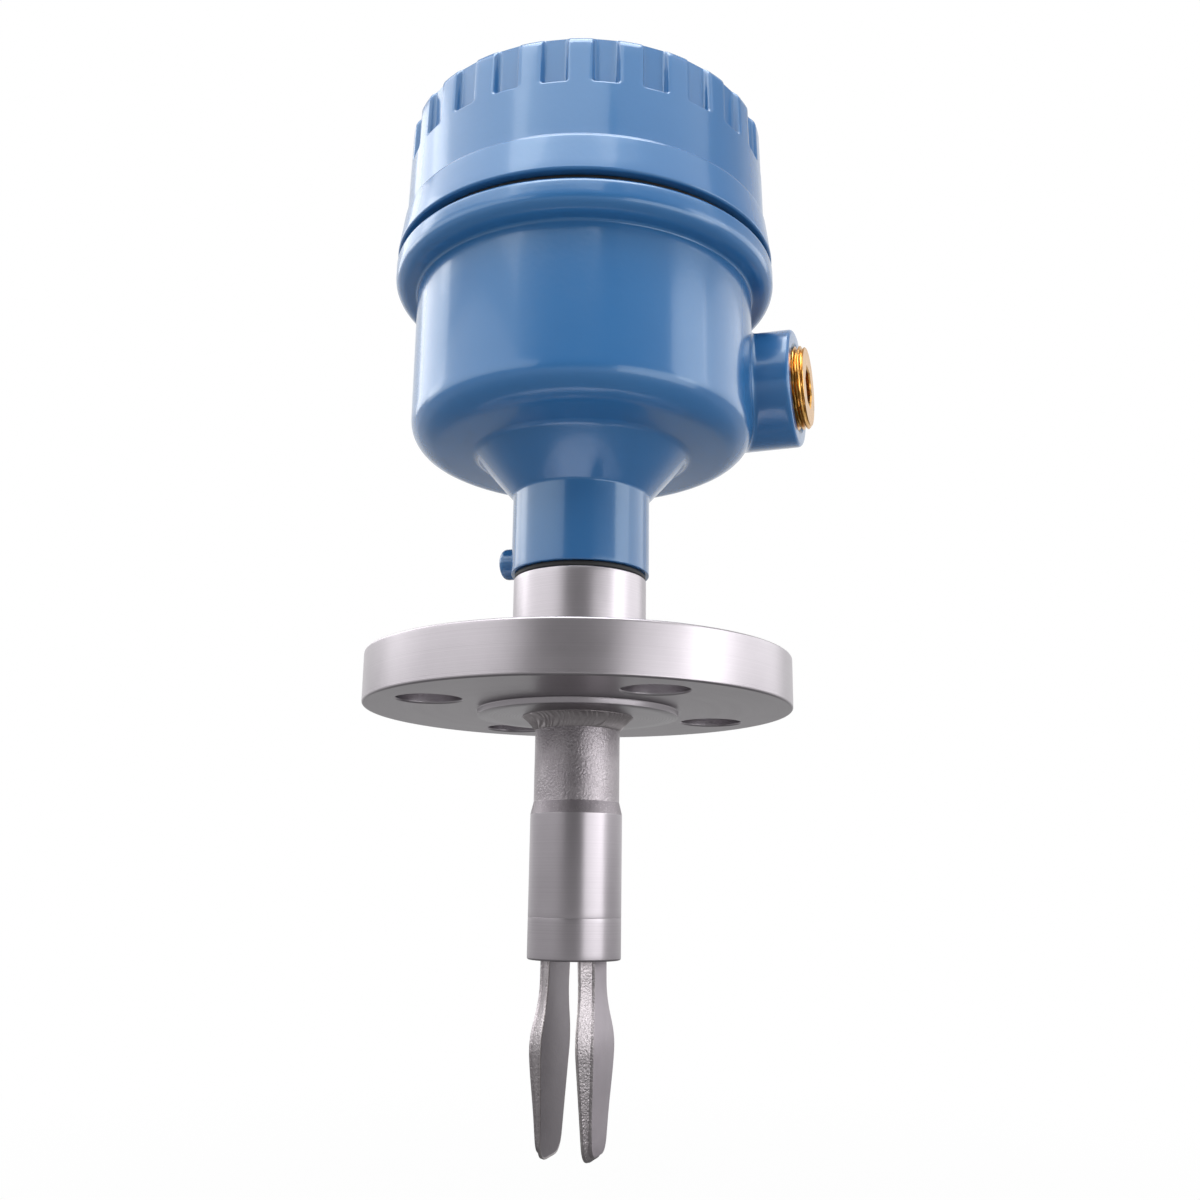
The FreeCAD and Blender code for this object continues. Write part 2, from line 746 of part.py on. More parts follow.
def housing():
    """The cast head: neck, cone, bowl and rim, with the cable entry and the set screw's boss."""
    body = new_body("housing")
    neck = "neck_diameter / 2"
    cone = "cone_diameter / 2"
    bowl = "bowl_diameter / 2"
    rim = "rim_diameter / 2"
    revolve(body, [("0", NECK_BOTTOM), (neck, NECK_BOTTOM), (neck, NECK_TOP), (cone, CONE_TOP),
                   (bowl, BOWL_BOTTOM), (bowl, RIM_BOTTOM), (rim, RIM_BOTTOM), (rim, RIM_TOP),
                   ("0", RIM_TOP)])
    rounds = [("neck_edge", neck, NECK_BOTTOM), ("neck_root", neck, NECK_TOP),
              ("cone_root", cone, CONE_TOP), ("bowl_round", bowl, BOWL_BOTTOM),
              ("rim_root", bowl, RIM_BOTTOM), ("rim_under_round", rim, RIM_BOTTOM),
              ("rim_top_round", rim, RIM_TOP)]
    for size, radius, height in rounds:
        dress(body, "Fillet", ring_edges(body, [(radius, height)]), size, size + "ed")
    boss = body.newObject("PartDesign::AdditiveCone", "entry_boss")
    carrier = [feature for feature in body.Origin.OriginFeatures if feature.Role == "YZ_Plane"]
    boss.AttachmentSupport = (carrier[0], [""])
    boss.MapMode = "FlatFace"
    bind(boss, Radius1="boss_diameter / 2 + boss_draft", Radius2="boss_diameter / 2",
         Height="boss_reach", AttachmentOffset__Base__x="entry_side",
         AttachmentOffset__Base__y=ENTRY_HEIGHT)
    doc.recompute()
    dress(body, "Fillet", meeting_edges(body), "boss_root", "boss_fillet")
    dress(body, "Fillet", far_edges(body, "boss_reach"), "boss_edge", "boss_rim")
    screw_boss = rings(body, "screw_boss", "YZ", ["screw_boss_diameter / 2"], up=SCREW_HEIGHT)
    pad(body, screw_boss, "screw_boss_reach", backwards=True)
    dress(body, "Fillet", far_edges(body, "-screw_boss_reach"), "screw_boss_round", "boss_end")
    hollow_housing(body)
    return body


def meeting_edges(body):
    """Names of the edges where the tapered entry boss runs into the wall."""
    names = []
    radius = number("boss_diameter / 2")
    draft = number("boss_draft / boss_reach")
    for k, edge in enumerate(body.Shape.Edges, start=1):
        points = edge.discretize(9)
        gaps = [math.hypot(point.y - number("entry_side"), point.z - number(ENTRY_HEIGHT))
                - radius - draft * (number("boss_reach") - point.x) for point in points]
        if max(abs(gap) for gap in gaps) < 1e-2 and max(point.x for point in points) < (
                number("bowl_diameter / 2") + 1e-2):
            names.append(f"Edge{k}")
    return names


def far_edges(body, reach):
    """Names of the edges that lie wholly in the plane at this X."""
    return [f"Edge{k}" for k, edge in enumerate(body.Shape.Edges, start=1)
            if all(abs(point.x - number(reach)) < 1e-4 for point in edge.discretize(5))]


def hollow_housing(body):
    """Bore the neck, hollow the bowl and cut the threads' bores and the fixing holes."""
    thread = "cover_thread / 2"
    thread_end = f"({RIM_TOP} - cover_thread_depth)"
    top = f"({RIM_TOP} + {RUN_OUT})"
    low = f"({NECK_BOTTOM} - {RUN_OUT})"
    groove(body, [("0", low), ("neck_bore / 2", low), ("neck_bore / 2", CLIP_SEAT),
                  ("clip_bore / 2", CLIP_SEAT), ("clip_bore / 2", FLOOR),
                  (f"{CAVITY_RADIUS} - floor_corner", FLOOR),
                  (CAVITY_RADIUS, f"{FLOOR} + floor_corner"), (CAVITY_RADIUS, thread_end),
                  (thread, thread_end), (thread, top), ("0", top)], "cavity")
    entry = rings(body, "entry_bore", "YZ", [ENTRY_RADIUS], "entry_side", ENTRY_HEIGHT)
    pocket(body, entry, backwards=True)
    mouth = [name for name in far_edges(body, "boss_reach")
             if body.Shape.getElement(name).Curve.Radius < number(ENTRY_RADIUS) + 1e-3]
    dress(body, "Chamfer", mouth, "entry_mouth", "entry_countersink")
    screw = rings(body, "screw_hole", "YZ", ["set_screw_diameter / 2 + thread_gap"],
                  up=SCREW_HEIGHT)
    pocket(body, screw)
    for side, sign in (("near", "-"), ("far", "")):
        hole = rings(body, side + "_fixing_hole", "XY", ["cassette_screw / 2 + seat_gap"],
                     "-pillar_offset", f"{sign}(pillar_spacing / 2)")
        hole.setExpression("AttachmentOffset.Base.z", on_sheet(FLOOR))
        pocket(body, hole, "screw_bite + seat_gap")
    earth = rings(body, "earth_hole", "XY", ["earth_screw / 2 + seat_gap"],
                  "earth_reach", "earth_side")
    earth.setExpression("AttachmentOffset.Base.z", on_sheet(FLOOR))
    pocket(body, earth, "earth_bite + seat_gap")


def set_screw():
    """The pointed socket screw that holds the head on the collar, along its own Z axis."""
    body = new_body("set_screw")
    radius = "set_screw_diameter / 2"
    revolve(body, [("0", "0"), ("set_screw_point", "0"), (radius, "set_screw_point"),
                   (radius, "set_screw_length"), ("0", "set_screw_length")])
    socket = hexagon(body, "key_socket", "XY", "set_screw_flats")
    socket.setExpression("AttachmentOffset.Base.z", on_sheet("set_screw_length"))
    pocket(body, socket, "set_screw_flats")
    place(body, f"-({SPIGOT_RADIUS} - screw_groove + running_gap + seat_gap)", "0", SCREW_HEIGHT)
    body.Placement.Rotation = FreeCAD.Rotation(Vector(0, 0, 1), Vector(-1, 0, 0))
    return body


def cover():
    """The screw cover: a hollow cap with lugs round its top and a threaded skirt below."""
    body = new_body("cover")
    lip = "lip_diameter / 2"
    step_height = f"({COVER_BOTTOM} + step_rise)"
    ledge_height = f"({step_height} + step_run)"
    skirt = "(cover_thread / 2 - skirt_gap)"
    skirt_bore = f"({skirt} - skirt_wall)"
    skirt_bottom = f"({COVER_BOTTOM} - skirt_length)"
    bore = "cover_bore / 2"
    shoulder = f"({COVER_BOTTOM} + skirt_shoulder)"
    roof = f"({COVER_TOP} - cover_roof)"
    revolve(body, [("0", roof), (bore, roof), (bore, shoulder), (skirt_bore, shoulder),
                   (skirt_bore, skirt_bottom), (skirt, skirt_bottom), (skirt, COVER_BOTTOM),
                   (lip, COVER_BOTTOM), ("step_diameter / 2", step_height),
                   ("side_diameter / 2", ledge_height), ("top_diameter / 2", COVER_TOP),
                   ("0", COVER_TOP)])
    dress(body, "Fillet", ring_edges(body, [("top_diameter / 2", COVER_TOP)]), "cover_round", "top")
    dress(body, "Fillet", ring_edges(body, [(lip, COVER_BOTTOM)]), "lip_edge", "lip")
    outside = f"({lip} + {RUN_OUT})"
    start = f"({COVER_BOTTOM} + pocket_rise)"
    top = f"({COVER_TOP} + {RUN_OUT})"
    slot = outline(body, "pocket_outline", "XZ", [
        (POCKET_FLOOR, start), (outside, start), (outside, top), (POCKET_FLOOR, top)])
    cut_once = pocket(body, slot, "pocket_width", side="Symmetric")
    round_pattern(body, cut_once, "lug_count")
    return place(body, turn="cover_turn")


def cover_ring():
    """The seal between the rim and the cover's lip."""
    body = new_body("cover_ring")
    inner = "cover_ring_bore / 2"
    outer = "cover_ring_diameter / 2"
    revolve(body, [(inner, "0"), (outer, "0"), (outer, "cover_gap"), (inner, "cover_gap")])
    dress(body, "Fillet", ring_edges(body, [(outer, "0"), (outer, "cover_gap")]),
          "cover_ring_round", "ring_rounds")
    return place(body, height=RIM_TOP)


def blanking_plug():
    """The plug in the cable entry, built along its own Z axis with its outer face at the top."""
    body = new_body("blanking_plug")
    crest = "entry_thread / 2"
    valley = f"({crest} - plug_groove)"
    waist = f"({crest} - tape_wall - thread_gap)"
    tape_top = "(tape_inset + tape_length)"
    points = [("0", "0"), (waist, "0"), (waist, tape_top), (crest, tape_top)]
    visible = int(number("plug_proud / plug_pitch")) + 1
    for turn in range(visible, 0, -1):
        top = f"(plug_length - plug_edge - {turn - 1} * plug_pitch)"
        points += [(crest, f"{top} - 0.9 * plug_pitch"), (valley, f"{top} - 0.45 * plug_pitch"),
                   (crest, top)]
    points += [(f"{crest} - plug_edge", "plug_length"), ("0", "plug_length")]
    revolve(body, points)
    socket = hexagon(body, "key_socket", "XY", "socket_flats")
    socket.setExpression("AttachmentOffset.Base.z", on_sheet("plug_length"))
    pocket(body, socket, "socket_depth")
    return lay_in_entry(body)


def lay_in_entry(body):
    """Turn a body's Z axis along the cable entry and set it at the plug's place."""
    place(body, "boss_reach + plug_proud - plug_length", "entry_side", ENTRY_HEIGHT)
    body.Placement.Rotation = FreeCAD.Rotation(Vector(0, 0, 1), Vector(1, 0, 0))
    return body


def plug_tape():
    """The sealing tape wound on the plug's thread."""
    body = new_body("plug_tape")
    outer = "entry_thread / 2"
    inner = f"({outer} - tape_wall)"
    end = "(tape_inset + tape_length - seat_gap)"
    revolve(body, [(inner, "tape_inset"), (outer, "tape_inset"), (outer, end), (inner, end)])
    return lay_in_entry(body)


def pillar_places():
    return [("near", "-pillar_offset", "-pillar_spacing / 2"),
            ("far", "-pillar_offset", "pillar_spacing / 2")]


def cassette_case():
    """The plastic case of the electronics, with screw pillars and the socket for the leads."""
    rim = "(cassette_diameter / 2)"
    outer = flat_sided("case_outside", rim, "cassette_flat", "cassette_height", FLOOR)
    inner = flat_sided("case_inside", f"({rim} - cassette_wall)",
                       "(cassette_flat - cassette_wall)", "cassette_height",
                       f"{FLOOR} + cassette_wall")
    shell = cut("case_shell", outer, [inner])
    socket = cylinder("socket_tube", "plugin_diameter / 2 + running_gap + socket_wall",
                      "socket_height", base=FLOOR)
    below = f"{FLOOR} - {RUN_OUT}"
    socket_hole = cylinder("socket_hole", "plugin_diameter / 2 + running_gap",
                           f"socket_height - socket_wall + seat_gap + {RUN_OUT}", base=below)
    pillars = [cylinder(side + "_pillar", "pillar_diameter / 2", f"board_rise - {RUN_OUT}",
                        along_x, along_y, FLOOR) for side, along_x, along_y in pillar_places()]
    holes = [cylinder(side + "_pillar_hole", "cassette_screw / 2 + screw_clearance",
                      f"board_rise + {RUN_OUT}", along_x, along_y, below)
             for side, along_x, along_y in pillar_places()]
    return cut("cassette_case", join("case_solid", [shell, socket] + pillars),
               [socket_hole] + holes)


def cassette_lid():
    """The lid of the cassette, pierced for its screws, the dial and the lamp."""
    plate = flat_sided("lid_plate", "(cassette_diameter / 2)", "cassette_flat", "cassette_lid",
                       LID_BOTTOM)
    low = f"{LID_BOTTOM} - {RUN_OUT}"
    deep = f"cassette_lid + 2 * {RUN_OUT}"
    tools = [cylinder(side + "_lid_hole", "cassette_screw / 2 + screw_clearance", deep,
                      along_x, along_y, low) for side, along_x, along_y in pillar_places()]
    tools.append(cylinder("dial_hole", "dial_stem / 2 + running_gap", deep,
                          "0", "-dial_place", low))
    tools.append(cylinder("lamp_hole", "lamp_diameter / 2 + seat_gap", deep,
                          "-pillar_offset", "-dial_place", low))
    return cut("cassette_lid", plate, tools)


def circuit_board():
    """The round board on the pillars, and the relay and the smoothing capacitors on it."""
    base = f"({FLOOR} + board_rise)"
    rim = "(cassette_diameter / 2 - cassette_wall - board_gap)"
    plate = flat_sided("board_plate", rim, "(cassette_flat - cassette_wall - board_gap)",
                       "board_height", base)
    low = f"{base} - {RUN_OUT}"
    deep = f"board_height + 2 * {RUN_OUT}"
    holes = [cylinder(side + "_board_hole", "cassette_screw / 2 + screw_clearance", deep,
                      along_x, along_y, low) for side, along_x, along_y in pillar_places()]
    board = cut("circuit_board", plate, holes)
    top = f"({base} + board_height)"
    relay = block("relay", "relay_length", "relay_width", "relay_height",
                  ("-relay_length / 2", "0", top))
    cans = [cylinder(f"capacitor_{k}", "relay_width / 4", "relay_height",
                     f"{spot} * relay_width / 2 - relay_length / 2",
                     "-relay_width / 2", top) for k, spot in enumerate((0, 1.2, 2.4))]
    return [board, join("board_parts", [relay] + cans)]


def board_supports():
    """The two tubes between the lid and the board, and the screws that go down through them."""
    bodies = []
    for name in ("board_spacers", "cassette_screws"):
        body = new_body(name)
        bodies.append(body)
    spacers, screws = bodies
    bore = "(cassette_screw / 2 + screw_clearance)"
    bottom = f"({FLOOR} + board_rise + board_height)"
    shaft = "cassette_screw / 2"
    head = "screw_head / 2"
    for side, along_x, along_y in pillar_places():
        tube = rings(spacers, side + "_spacer", "XY", ["pillar_diameter / 2", bore],
                     along_x, along_y)
        tube.setExpression("AttachmentOffset.Base.z", on_sheet(bottom))
        pad(spacers, tube, f"{LID_BOTTOM} - {bottom}")
        shank = rings(screws, side + "_shank", "XY", [shaft], along_x, along_y)
        shank.setExpression("AttachmentOffset.Base.z", on_sheet(f"{FLOOR} - screw_bite"))
        pad(screws, shank, f"{LID_TOP} - {FLOOR} + screw_bite")
        cap = rings(screws, side + "_head", "XY", [head], along_x, along_y)
        cap.setExpression("AttachmentOffset.Base.z", on_sheet(LID_TOP))
        pad(screws, cap, "screw_head_height")
        slot = outline(screws, side + "_slot", "XY", [
            (f"{along_x} - {head}", f"{along_y} - terminal_slot / 2"),
            (f"{along_x} + {head}", f"{along_y} - terminal_slot / 2"),
            (f"{along_x} + {head}", f"{along_y} + terminal_slot / 2"),
            (f"{along_x} - {head}", f"{along_y} + terminal_slot / 2")])
        slot.setExpression("AttachmentOffset.Base.z", on_sheet(f"{LID_TOP} + screw_head_height"))
        pocket(screws, slot, "screw_head_height / 2")
    return bodies


def terminal_places():
    """The middle of each terminal along X, as expressions."""
    count = int(number("terminal_count"))
    return [f"({2 * k + 1 - count} * terminal_pitch / 2)" for k in range(count)]


def terminals():
    """The terminal block with a cage clamp and a screw for each wire."""
    length = "(terminal_count * terminal_pitch)"
    front = "terminal_place"
    back = f"({front} - terminal_width)"
    centre = f"({front} - terminal_width / 2)"
    shift = "(cassette_flat - terminal_count * terminal_pitch / 2)"
    base = LID_TOP
    case = block("terminal_case", length, "terminal_width", "terminal_height",
                 (f"{shift} - {length} / 2", back, base))
    tools, cages, screws = [], [], []
    depth = "(terminal_width - 2 * cage_wall)"
    for k, spot in enumerate(terminal_places()):
        middle = f"({shift} + {spot})"
        cage_base = f"({base} + cage_wall)"
        room = "(cage_width + 2 * seat_gap)"
        tools.append(block(f"cage_room_{k}", room, f"{depth} + {RUN_OUT}",
                           "cage_height + seat_gap",
                           (f"{middle} - {room} / 2", f"{front} - {depth}", cage_base)))
        tools.append(cylinder(f"screw_well_{k}", "terminal_screw / 2 + seat_gap",
                              f"terminal_height + {RUN_OUT}", middle, centre,
                              f"{cage_base} + cage_height"))
        tube = block(f"cage_tube_{k}", "cage_width", depth, "cage_height",
                     (f"{middle} - cage_width / 2", f"{front} - {depth}", cage_base))
        hollow = block(f"cage_hollow_{k}", "cage_width - 2 * cage_wall",
                       f"terminal_width + {RUN_OUT}", "cage_height - 2 * cage_wall",
                       (f"{middle} - cage_width / 2 + cage_wall", f"{back} - {RUN_OUT} / 2",
                        f"{cage_base} + cage_wall"))
        cages.append(cut(f"cage_{k}", tube, [hollow]))
        top = f"({cage_base} + cage_height + terminal_screw_depth)"
        pin = cylinder(f"terminal_pin_{k}", "terminal_screw / 2 ", "terminal_screw_depth",
                       middle, centre, f"{top} - terminal_screw_depth")
        slot = block(f"terminal_slot_{k}", "terminal_screw + 1", "terminal_slot", "1",
                     (f"{middle} - terminal_screw / 2 - 0.5", f"{centre} - terminal_slot / 2",
                      f"{top} - 0.8"))
        screws.append(cut(f"terminal_screw_{k}", pin, [slot]))
    return [cut("terminal_block", case, tools), join("terminal_cages", cages),
            join("terminal_screws", screws)]


def settings():
    """The mode dial with its slot, the lamp beside it and a blank label."""
    dial = new_body("mode_dial")
    under = "(cassette_lid + seat_gap)"
    revolve(dial, [("0", f"-{under}"), ("dial_stem / 2", f"-{under}"), ("dial_stem / 2", "seat_gap"),
                   ("dial_diameter / 2", "seat_gap"), ("dial_diameter / 2", "dial_height"),
                   ("0", "dial_height")])
    slot = outline(dial, "dial_slot_outline", "XZ", [
        ("-dial_slot / 2", "dial_height / 2"), ("dial_slot / 2", "dial_height / 2"),
        ("dial_slot / 2", f"dial_height + {RUN_OUT}"),
        ("-dial_slot / 2", f"dial_height + {RUN_OUT}")])
    pocket(dial, slot, "0.8 * dial_diameter", side="Symmetric")
    place(dial, "0", "-dial_place", LID_TOP)
    lamp = new_body("status_lamp")
    radius = "lamp_diameter / 2"
    revolve(lamp, [("0", "0"), (radius, "0"), (radius, "cassette_lid + lamp_proud"),
                   ("0", "cassette_lid + lamp_proud")])
    dress(lamp, "Fillet", ring_edges(lamp, [(radius, "cassette_lid + lamp_proud")]),
          "lamp_proud", "dome")
    place(lamp, "-pillar_offset", "-dial_place", LID_BOTTOM)
    label = block("label_plate", "label_length", "label_width", "label_height",
                  ("-pillar_offset - lamp_diameter - label_length",
                   "-dial_place - label_width / 2", LID_TOP))
    label.Label = "label_plate"
    return [dial, lamp, label]


def earth_terminal():
    """The earth screw in the floor and the square clamp that it holds down."""
    screw = new_body("earth_screw")
    radius = "earth_screw / 2"
    head = "earth_head / 2"
    revolve(screw, [("0", "-earth_bite"), (radius, "-earth_bite"), (radius, "clamp_height"),
                    (head, "clamp_height"), (head, "clamp_height + earth_head_height"),
                    ("0", "clamp_height + earth_head_height")])
    slot = outline(screw, "earth_slot", "XZ", [
        ("-terminal_slot / 2", "clamp_height + earth_head_height / 2"),
        ("terminal_slot / 2", "clamp_height + earth_head_height / 2"),
        ("terminal_slot / 2", f"clamp_height + earth_head_height + {RUN_OUT}"),
        ("-terminal_slot / 2", f"clamp_height + earth_head_height + {RUN_OUT}")])
    pocket(screw, slot, "earth_head + 1", side="Symmetric")
    clamp = new_body("earth_clamp")
    half = "clamp_width / 2"
    pad(clamp, outline(clamp, "clamp_outline", "XY", [
        (f"-{half}", f"-{half}"), (half, f"-{half}"), (half, half), (f"-{half}", half)]),
        "clamp_height")
    pocket(clamp, rings(clamp, "clamp_hole", "XY", [f"{radius} + seat_gap"]), backwards=True)
    return [place(body, "earth_reach", "earth_side", FLOOR) for body in (screw, clamp)]


def check(sub_parts):
    """Stop if anything in the document failed, or a sub-part has no valid solid."""
    for item in doc.Objects:
        if "Invalid" in item.State or "Error" in item.State:
            raise ValueError(f"{item.Label} did not build: {item.State}")
    for item in sub_parts:
        if item.Shape.isNull() or not item.Shape.isValid() or not item.Shape.Solids:
            raise ValueError(f"{item.Label} has no valid solid")


def export(sub_parts):
    os.makedirs("parts", exist_ok=True)
    for item in sub_parts:
        item.Shape.exportStep(f"parts/{item.Label}.step")
        print(f"{item.Label}: {len(item.Shape.Solids)} solid(s), {item.Shape.Volume:.1f} mm3")


sub_parts = [flange(), stem(), weld_bead(), fork(), collar(), housing(), set_screw(), cover(),
             cover_ring(), blanking_plug(), plug_tape(), cassette_case(), cassette_lid()]
sub_parts += piezo_stack() + sensor_wiring() + collar_rings() + circuit_board()
sub_parts += board_supports() + terminals() + settings() + earth_terminal()
doc.recompute()
check(sub_parts)
export(sub_parts)
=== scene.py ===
# %% [markdown]
# # A vibrating fork level switch
# The real object is a steel flange with a short stem and two tines below it, and a painted
# aluminium head above it. A tank's wall sits between the two halves. This lesson dresses the
# measured model: every visible turned, cast or welded surface is built again with more detail,
# and each gets its own finish. The measured model comes first, because it fixes every place.

# %% Load the measured model
import math

import bmesh
import bpy
from mathutils import Matrix, Vector
from mathutils.geometry import delaunay_2d_cdt


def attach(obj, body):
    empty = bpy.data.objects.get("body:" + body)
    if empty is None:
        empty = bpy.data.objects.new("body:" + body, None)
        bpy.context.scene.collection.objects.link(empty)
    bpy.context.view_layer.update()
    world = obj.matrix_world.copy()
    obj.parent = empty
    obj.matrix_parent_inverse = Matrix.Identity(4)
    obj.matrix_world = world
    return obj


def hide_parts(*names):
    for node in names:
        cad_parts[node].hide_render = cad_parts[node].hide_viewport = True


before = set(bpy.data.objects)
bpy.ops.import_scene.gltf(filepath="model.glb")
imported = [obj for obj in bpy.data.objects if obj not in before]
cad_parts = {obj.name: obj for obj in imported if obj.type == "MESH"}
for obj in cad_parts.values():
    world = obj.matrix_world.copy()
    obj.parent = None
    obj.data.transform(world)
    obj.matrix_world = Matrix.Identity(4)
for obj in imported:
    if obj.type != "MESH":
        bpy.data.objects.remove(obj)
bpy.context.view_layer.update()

# %% [markdown]
# ## Camera
# The photographer stood a little below the flange and looked up, so the head widens towards the
# top and the undersides show. A lens of 36 mm at this short distance gives the same strong
# perspective; a longer lens from further away would flatten the ellipses.

# %% Place the camera
FILM_WIDTH = 36
FOCAL_LENGTH = 36.399
VIEW_TURN = math.radians(19)
VIEW_PITCH = 0.234353
VIEW_YAW = 0.017160
VIEW_ROLL = 0.0125
VIEW_DISTANCE = 0.305878
VIEW_HEIGHT = -0.042276

turn = Matrix.Rotation(VIEW_TURN, 3, "Z")
level = math.cos(VIEW_PITCH)
forward = turn @ Vector((math.sin(VIEW_YAW) * level, math.cos(VIEW_YAW) * level,
                         math.sin(VIEW_PITCH)))
right = turn @ Vector((math.cos(VIEW_YAW), -math.sin(VIEW_YAW), 0))
up = right.cross(forward)
roll = Matrix.Rotation(-VIEW_ROLL, 3, forward)
axes = Matrix((roll @ right, roll @ up, -forward)).transposed().to_4x4()
camera = bpy.data.objects.new("camera", bpy.data.cameras.new("camera"))
camera.data.sensor_width = FILM_WIDTH
camera.data.lens = FOCAL_LENGTH
camera.data.clip_start = 0.01
camera.matrix_world = Matrix.Translation(
    turn @ Vector((0, -VIEW_DISTANCE, 0)) + Vector((0, 0, VIEW_HEIGHT))) @ axes
bpy.context.scene.collection.objects.link(camera)
bpy.context.scene.camera = camera
bpy.context.scene.view_settings.view_transform = "Standard"
print("camera at", *camera.location)

# %% [markdown]
# ## Writing shaders as sums
# A finish is a small calculation: how worn, how rough, how high at each point. Node editors show
# it as boxes, but it reads more easily as a formula. This class wraps one socket, and Python's
# own operators on it add Math nodes. Every other node comes from its one method, node().

# %% Arithmetic on sockets
def operator(operation, reflected=False):
    """A method that adds one Math node; the reflected form makes 1 - mask work."""
    if reflected:
        return lambda self, other: self.maths(operation, other, self)
    return lambda self, other: self.maths(operation, self, other)


class Wire:
    """A value in a node tree. Arithmetic on it adds Math nodes."""

    def __init__(self, tree, socket=None):
        self.tree = tree
        self.socket = socket

    def node(self, kind, settings, values, out=0):
        """Add a node: its settings first, then the values or wires of its sockets."""
        made = self.tree.nodes.new("ShaderNode" + kind)
        for name, setting in settings.items():
            setattr(made, name, setting)
        for name, value in values.items():
            if isinstance(value, Wire):
                self.tree.links.new(value.socket, made.inputs[name])
            else:
                made.inputs[name].default_value = value
        return Wire(self.tree, made.outputs[out] if made.outputs else None)

    def maths(self, operation, *values):
        return self.node("Math", {"operation": operation}, dict(enumerate(values)))

    __add__, __radd__ = operator("ADD"), operator("ADD", True)
    __sub__, __rsub__ = operator("SUBTRACT"), operator("SUBTRACT", True)
    __mul__, __rmul__ = operator("MULTIPLY"), operator("MULTIPLY", True)
    __pow__ = operator("POWER")


print("operators ready")

# %% [markdown]
# ## Small helpers for finishes
# Noise gives the irregular part of a finish, a stretch of its range gives a mask, and a mask
# mixes two colours. All of them start from object coordinates in metres, so the scale of a
# pattern is its real size and the pattern moves with the piece.

# %% Noise, masks and colours
def paint(red, green, blue):
    """A colour given as on a screen, 0 to 255, turned into the linear values of a shader."""
    parts = [part / 255 for part in (red, green, blue)]
    return tuple(part / 12.92 if part < 0.04045 else ((part + 0.055) / 1.055) ** 2.4
                 for part in parts) + (1,)


def noise(place, size, detail=2, roughness=0.5):
    """Soft noise whose blotches are about this many millimetres across."""
    return place.node("TexNoise", {}, {"Vector": place, "Scale": 1000 / size, "Detail": detail,
                                       "Roughness": roughness}, "Fac")


def streaks(along, size, detail=2):
    """Noise that changes only with one value, for turned and brushed lines."""
    return along.node("TexNoise", {"noise_dimensions": "1D"},
                      {"W": along, "Scale": 1000 / size, "Detail": detail}, "Fac")


def stretch(value, low, high, to_low=0.0, to_high=1.0):
    """The part of a value between low and high, smoothly stretched to a new range."""
    return value.node("MapRange", {"interpolation_type": "SMOOTHSTEP"},
                      {"Value": value, "From Min": low, "From Max": high,
                       "To Min": to_low, "To Max": to_high})


def mixed(mask, first, second):
    """Two colours mixed by a mask."""
    return mask.node("Mix", {"data_type": "RGBA"}, {0: mask, 6: first, 7: second}, 2)


def bumped(height, depth):
    """A normal from a height between 0 and 1 that stands this many millimetres."""
    return height.node("Bump", {}, {"Height": height, "Strength": 1.0, "Distance": depth / 1000},
                       "Normal")


def new_finish(name):
    """A material with an empty tree, and the wire of the place on the piece."""
    made = bpy.data.materials.new(name)
    made.use_nodes = True
    made.node_tree.nodes.clear()
    return made, Wire(made.node_tree).node("TexCoord", {}, {}, "Object")


def close_finish(place, values):
    """Close the tree with one shader."""
    shader = place.node("BsdfPrincipled", {}, values, "BSDF")
    place.node("OutputMaterial", {}, {"Surface": shader})


finishes = {}
print("helpers ready")

# %% [markdown]
# ## Blue paint
# The head is cast aluminium with a glossy sprayed paint. The paint flows out almost flat, but it
# keeps a faint orange peel and follows the small dents and grains of the casting. The colour is
# nearly even; most of what the eye sees is the reflection of the studio. So the colour varies
# very little, and the work goes into fine bumps at three sizes and a clear coat over them.

# %% Blue paint
def blue_paint():
    made, place = new_finish("blue_paint")
    cloud = noise(place, 28, 2)
    peel = noise(place, 1.3, 1)
    casting = noise(place, 6, 3)
    cells = place.node("TexVoronoi", {"feature": "F1"}, {"Vector": place, "Scale": 120.0},
                       "Distance")
    grains = stretch(cells, 0.02, 0.09, 1.0, 0.0) * stretch(noise(place, 9, 1), 0.56, 0.64)
    height = peel * 0.4 + casting * 0.6 + grains * 0.55
    close_finish(place, {
        "Base Color": mixed(cloud, paint(40, 91, 142), paint(46, 99, 150)),
        "Roughness": 0.18 + 0.1 * noise(place, 3, 3),
        "IOR": 1.6,
        "Specular Tint": (0.74, 0.9, 1.0, 1.0),
        "Coat Weight": 0.3 + 0.2 * cloud,
        "Coat Roughness": 0.09,
        "Normal": bumped(height, 0.045),
    })
    return made


finishes["blue_paint"] = blue_paint()
print("blue paint:", len(finishes["blue_paint"].node_tree.nodes), "nodes")

# %% [markdown]
# ## Turned stainless steel
# A lathe tool leaves a very fine spiral on the rim and rings on the faces. One formula serves
# both: noise that depends only on the distance from the axis plus the height. On a rim the
# distance stays the same, so the lines run round it; on a face the height does, so the lines
# are rings. The steel itself is a slightly warm grey.

# %% Stainless steel, turned, polished, and with a gasket finish
GROOVE_PITCH = 0.0008


